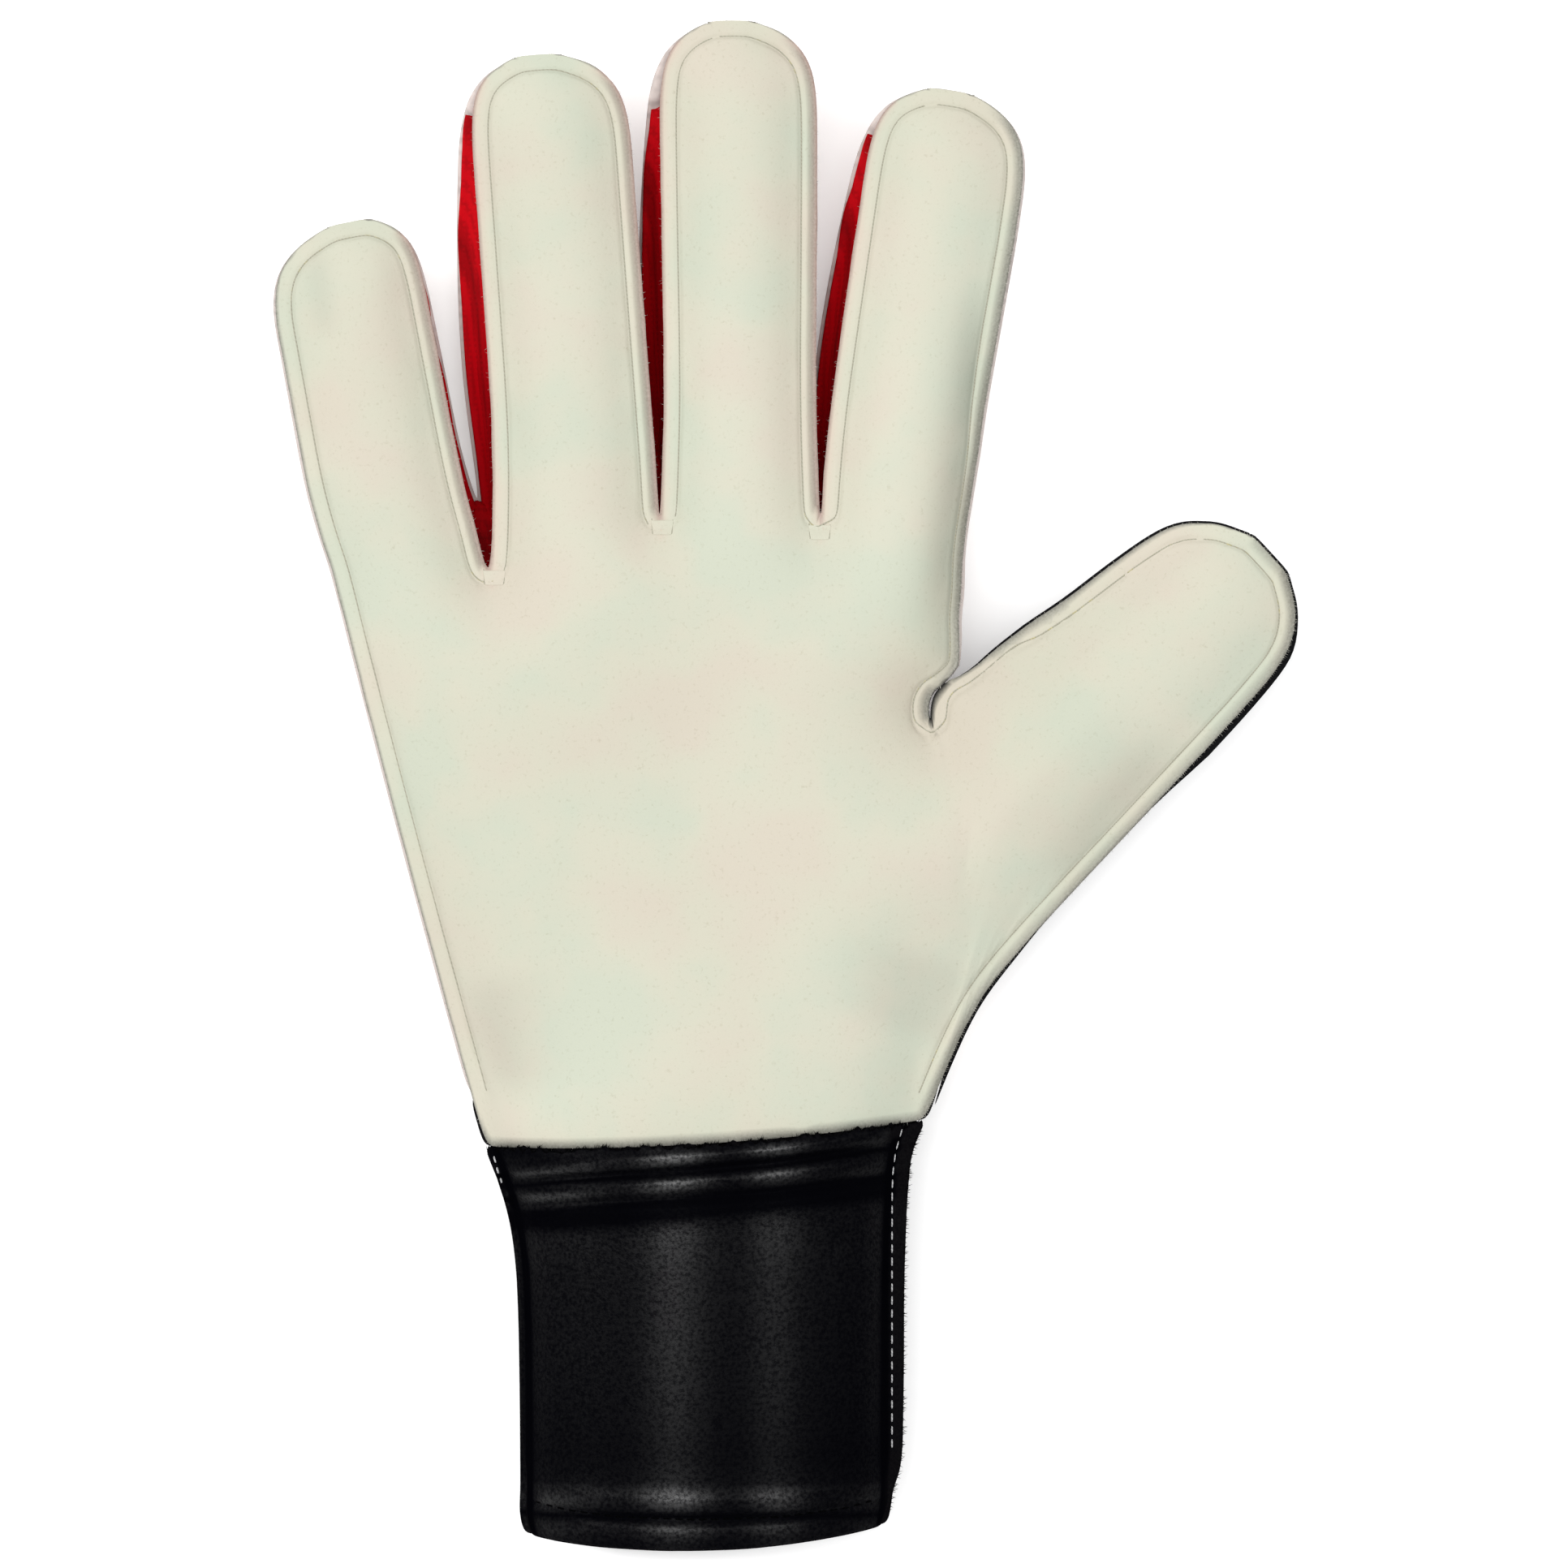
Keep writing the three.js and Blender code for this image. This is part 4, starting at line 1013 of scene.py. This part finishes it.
def sewTab(index, pixels):
    form = tabForm
    centre = fromPhoto(*pixels)
    deselectAll()
    bpy.ops.mesh.primitive_cube_add(size=1, scale=(form["wide"], form["long"], form["thick"]))
    tab = bpy.context.object
    bpy.ops.object.transform_apply(location=True, rotation=True, scale=True)
    applyModifier(tab, "BEVEL", width=0.12 * mm, segments=3)
    bpy.ops.object.mode_set(mode="EDIT")
    bpy.ops.mesh.select_all(action="SELECT")
    bpy.ops.mesh.subdivide(number_cuts=3)
    bpy.ops.object.mode_set(mode="OBJECT")
    for vertex in tab.data.vertices:
        x, y, z = vertex.co
        narrow = 1 + 0.12 * y / (form["long"] / 2)
        x, y = centre.x + x * narrow, centre.y + y
        hit = palmSurface.ray_cast(Vector((x, y, 0.2)), Vector((0, 0, -1)))[0]
        vertex.co = (x, y, hit.z + z + form["thick"] / 2 - form["sunk"])
    bpy.ops.object.shade_smooth()
    tab.name = f"crotchTab{index}"
    tab.data.materials.append(latex)
    return tab


tabs = [sewTab(i + 1, pixels) for i, pixels in enumerate(tabForm["places"])]
# grey lines round each tab: thread, and painted shade at the tab's edges
tabRuns = []
for px, py in tabForm["places"]:
    outline = [(-13, -11), (-12, 8), (12, 8), (13, -11)]
    tabRuns.append([fromPhoto(px + x, py + y) for x, y in outline])
tabLine = {"thick": 0.2 * mm, "sink": 0.03 * mm, "step": 0.3 * mm}
tabThreadAndShade = layThread("tabThreadAndShade", tabRuns, palmSurface, tabLine, greyThreadAndShade)
print("tabs sewn")


# Loose fibres on raw edges
fibreForm = {"long": 0.75 * mm, "thick": 0.1 * mm, "sides": 3}


def addFibres(name, roots, material, form, seed):
    # roots are places with the way each fibre leans
    pick = random.Random(seed)
    points, faces = [], []
    for place, lean in roots:
        tilt = Vector([pick.uniform(-0.7, 0.7) for axis in range(3)])
        run = (Vector(lean) + tilt).normalized() * form["long"] * pick.uniform(0.35, 1.0)
        side = run.orthogonal().normalized() * form["thick"] / 2
        first = len(points)
        for i in range(form["sides"]):
            turn = Matrix.Rotation(math.tau * i / form["sides"], 3, run.normalized())
            points.append(Vector(place) - run * 0.3 + turn @ side)
        points.append(Vector(place) + run)
        for i in range(form["sides"]):
            faces.append((first + i, first + (i + 1) % form["sides"], first + form["sides"]))
        faces.append(tuple(first + form["sides"] - 1 - i for i in range(form["sides"])))
    data = bpy.data.meshes.new(name)
    data.from_pydata(points, [], faces)
    data.materials.append(material)
    piece = bpy.data.objects.new(name, data)
    scene.collection.objects.link(piece)
    return piece


def palmFibreRoots():
    pick = random.Random(31)
    roots = []
    for place, outward in zip(palmRing, palmOutward):
        chance = 0.9 if outward[0] > 0.5 and place[0] > 20 * mm else 0.25
        if pick.random() < chance:
            lower = pick.uniform(0, 1.6) * mm
            roots.append(((place[0], place[1], place[2] - lower), (outward[0], outward[1], 0)))
    return roots


foamFibre = makeThread("foamFibre", (0.55, 0.54, 0.48), (0.16, 0.16, 0.14), 0.9)
palmFibres = addFibres("palmFibres", palmFibreRoots(), foamFibre, fibreForm, 41)
print("palm fibres:", len(palmFibres.data.polygons) // 4)

cuffSeam = {
    "long": 1.5 * mm, "thick": 0.32 * mm, "pitch": 2.3 * mm, "sink": 0.0,
    "line": [(1112, 1388), (1103, 1420), (1100, 1445), (1099, 1470), (1099, 1640), (1099, 1800)],
}
hemSeam = {
    "long": 1.5 * mm, "thick": 0.4 * mm, "pitch": 2.1 * mm, "sink": 0.05 * mm,
    "line": [(656, 1848), (700, 1857), (760, 1864), (860, 1867), (960, 1864), (1040, 1855), (1088, 1844)],
}
leftSeam = {
    "long": 1.2 * mm, "thick": 0.4 * mm, "pitch": 2.0 * mm, "sink": 0.0,
    "line": [(608, 1422), (613, 1442), (620, 1464)],
}
cuffSurface = surfaceOf(cuffFront)


def sewLine(name, form, material):
    line = [fromPhoto(*p) for p in form["line"]]
    return sewSeam(name, alongLine(line, form["pitch"], cuffSurface, form["sink"]), form, material)


cuffStitches = sewLine("cuffStitches", cuffSeam, whiteThread)
hemStitches = sewLine("hemStitches", hemSeam, blackThread)
leftStitches = sewLine("leftStitches", leftSeam, whiteThread)


def cuffFibreRoots():
    pick = random.Random(32)
    ring = densified(readPoints(cuffFront)[edgeLoop(cuffFront, 1)], 0.22 * mm)
    roots = []
    for x, y, z in ring:
        isTop = y > cuffTop(x) - 1.5 * mm
        isFlange = x > fromPhoto(1096, 0).x
        if isTop or (isFlange and pick.random() < 0.5):
            lean = (0.15, 1, 0.5) if isTop else (1, 0, 0)
            roots.append(((x, y, z + pick.uniform(-0.2, 0.1) * mm), lean))
    return roots


cuffFibreForm = {"long": 1.1 * mm, "thick": 0.24 * mm, "sides": 3}
cuffFibres = addFibres("cuffFibres", cuffFibreRoots(), blackThread, cuffFibreForm, 42)
print("cuff sewn")


# Each piece rides on the one body and stands for its solid
soft = {
    "palm": (palm, ["palm_latex"], "cream_latex"),
    "backHand": (backHand, ["back_hand"], "pale_back"),
    "backThumb": (backThumb, ["back_thumb"], "black_back"),
    "backWrist": (backWrist, ["back_wrist"], "black_back"),
    "gussetLittleRing": (gussets[0], ["gusset_little_ring"], "red_stretch"),
    "gussetRingMiddle": (gussets[1], ["gusset_ring_middle"], "red_stretch"),
    "gussetMiddleIndex": (gussets[2], ["gusset_middle_index"], "red_stretch"),
    "cuffFront": (cuffFront, ["cuff_front"], "black_synthetic"),
    "cuffBack": (cuffBack, ["cuff_back"], "black_synthetic"),
    "palmStitches": (palmStitches, [], "cream_latex"),
    "seamThreadAndGrooveShade": (seamThreadAndGrooveShade, [], "cream_latex"),
    "tabThreadAndShade": (tabThreadAndShade, [], "cream_latex"),
    "palmFibres": (palmFibres, [], "cream_latex"),
    "cuffFibres": (cuffFibres, [], "black_synthetic"),
    **{tab.name: (tab, [], "cream_latex") for tab in tabs},
    "cuffStitches": (cuffStitches, [], "black_synthetic"),
    "hemStitches": (hemStitches, [], "black_synthetic"),
    "leftStitches": (leftStitches, [], "black_synthetic"),
}
for piece, nodes, slotName in soft.values():
    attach(piece, "root")
    if nodes:
        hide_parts(*nodes)
print("pieces placed")


# Floor, light and camera
studio = {
    "floorSize": 5, "floorColour": (0.95, 0.95, 0.95), "floorGlow": 0.2, "ambient": 0.84,
    "softboxes": [
        {"name": "leftStrip", "place": (-0.43, 0.05, 1.7), "width": 0.16, "height": 1.3, "power": 12.0},
        {"name": "rightStrip", "place": (0.80, 0.05, 1.6), "width": 0.22, "height": 1.3, "power": 8.0},
        {"name": "key", "place": (-1.2, 0.8, 1.2), "width": 0.9, "height": 0.9, "power": 10.0},
    ],
    "focalLength": 300, "viewWidth": 0.2775, "aimHeight": 0.0171,
}


def addSoftbox(box):
    deselectAll()
    bpy.ops.object.light_add(type="AREA", location=box["place"])
    lamp = bpy.context.object
    lamp.name = box["name"]
    lamp.data.shape = "RECTANGLE"
    lamp.data.size = box["width"]
    lamp.data.size_y = box["height"]
    lamp.data.energy = box["power"]
    lamp.rotation_euler = (-Vector(box["place"])).to_track_quat("-Z", "Y").to_euler()


deselectAll()
bpy.ops.mesh.primitive_plane_add(size=studio["floorSize"], location=(0, 0, 0))
floor = bpy.context.object
floor.name = "floor"
paper, paperShader = newMaterial("paper", 0.9, specular=0.1)
for socket in ("Base Color", "Emission Color"):
    paperShader.inputs[socket].default_value = (*studio["floorColour"], 1)
paperShader.inputs["Emission Strength"].default_value = studio["floorGlow"]
floor.data.materials.append(paper)

world = bpy.data.worlds.new("studio")
world.use_nodes = True
world.node_tree.nodes["Background"].inputs["Color"].default_value = (1, 1, 1, 1)
world.node_tree.nodes["Background"].inputs["Strength"].default_value = studio["ambient"]
scene.world = world
for box in studio["softboxes"]:
    addSoftbox(box)

centre = fromPhoto(966, 966)
cameraData = bpy.data.cameras.new("camera")
cameraData.lens = studio["focalLength"]
cameraData.sensor_width = 36
camera = bpy.data.objects.new("camera", cameraData)
scene.collection.objects.link(camera)
reach = studio["viewWidth"] * cameraData.lens / cameraData.sensor_width
camera.location = (centre.x, centre.y, studio["aimHeight"] + reach)
camera.rotation_euler = (0, 0, 0)
cameraData.clip_end = 20
scene.camera = camera
scene.view_settings.view_transform = "Standard"
print("studio set")
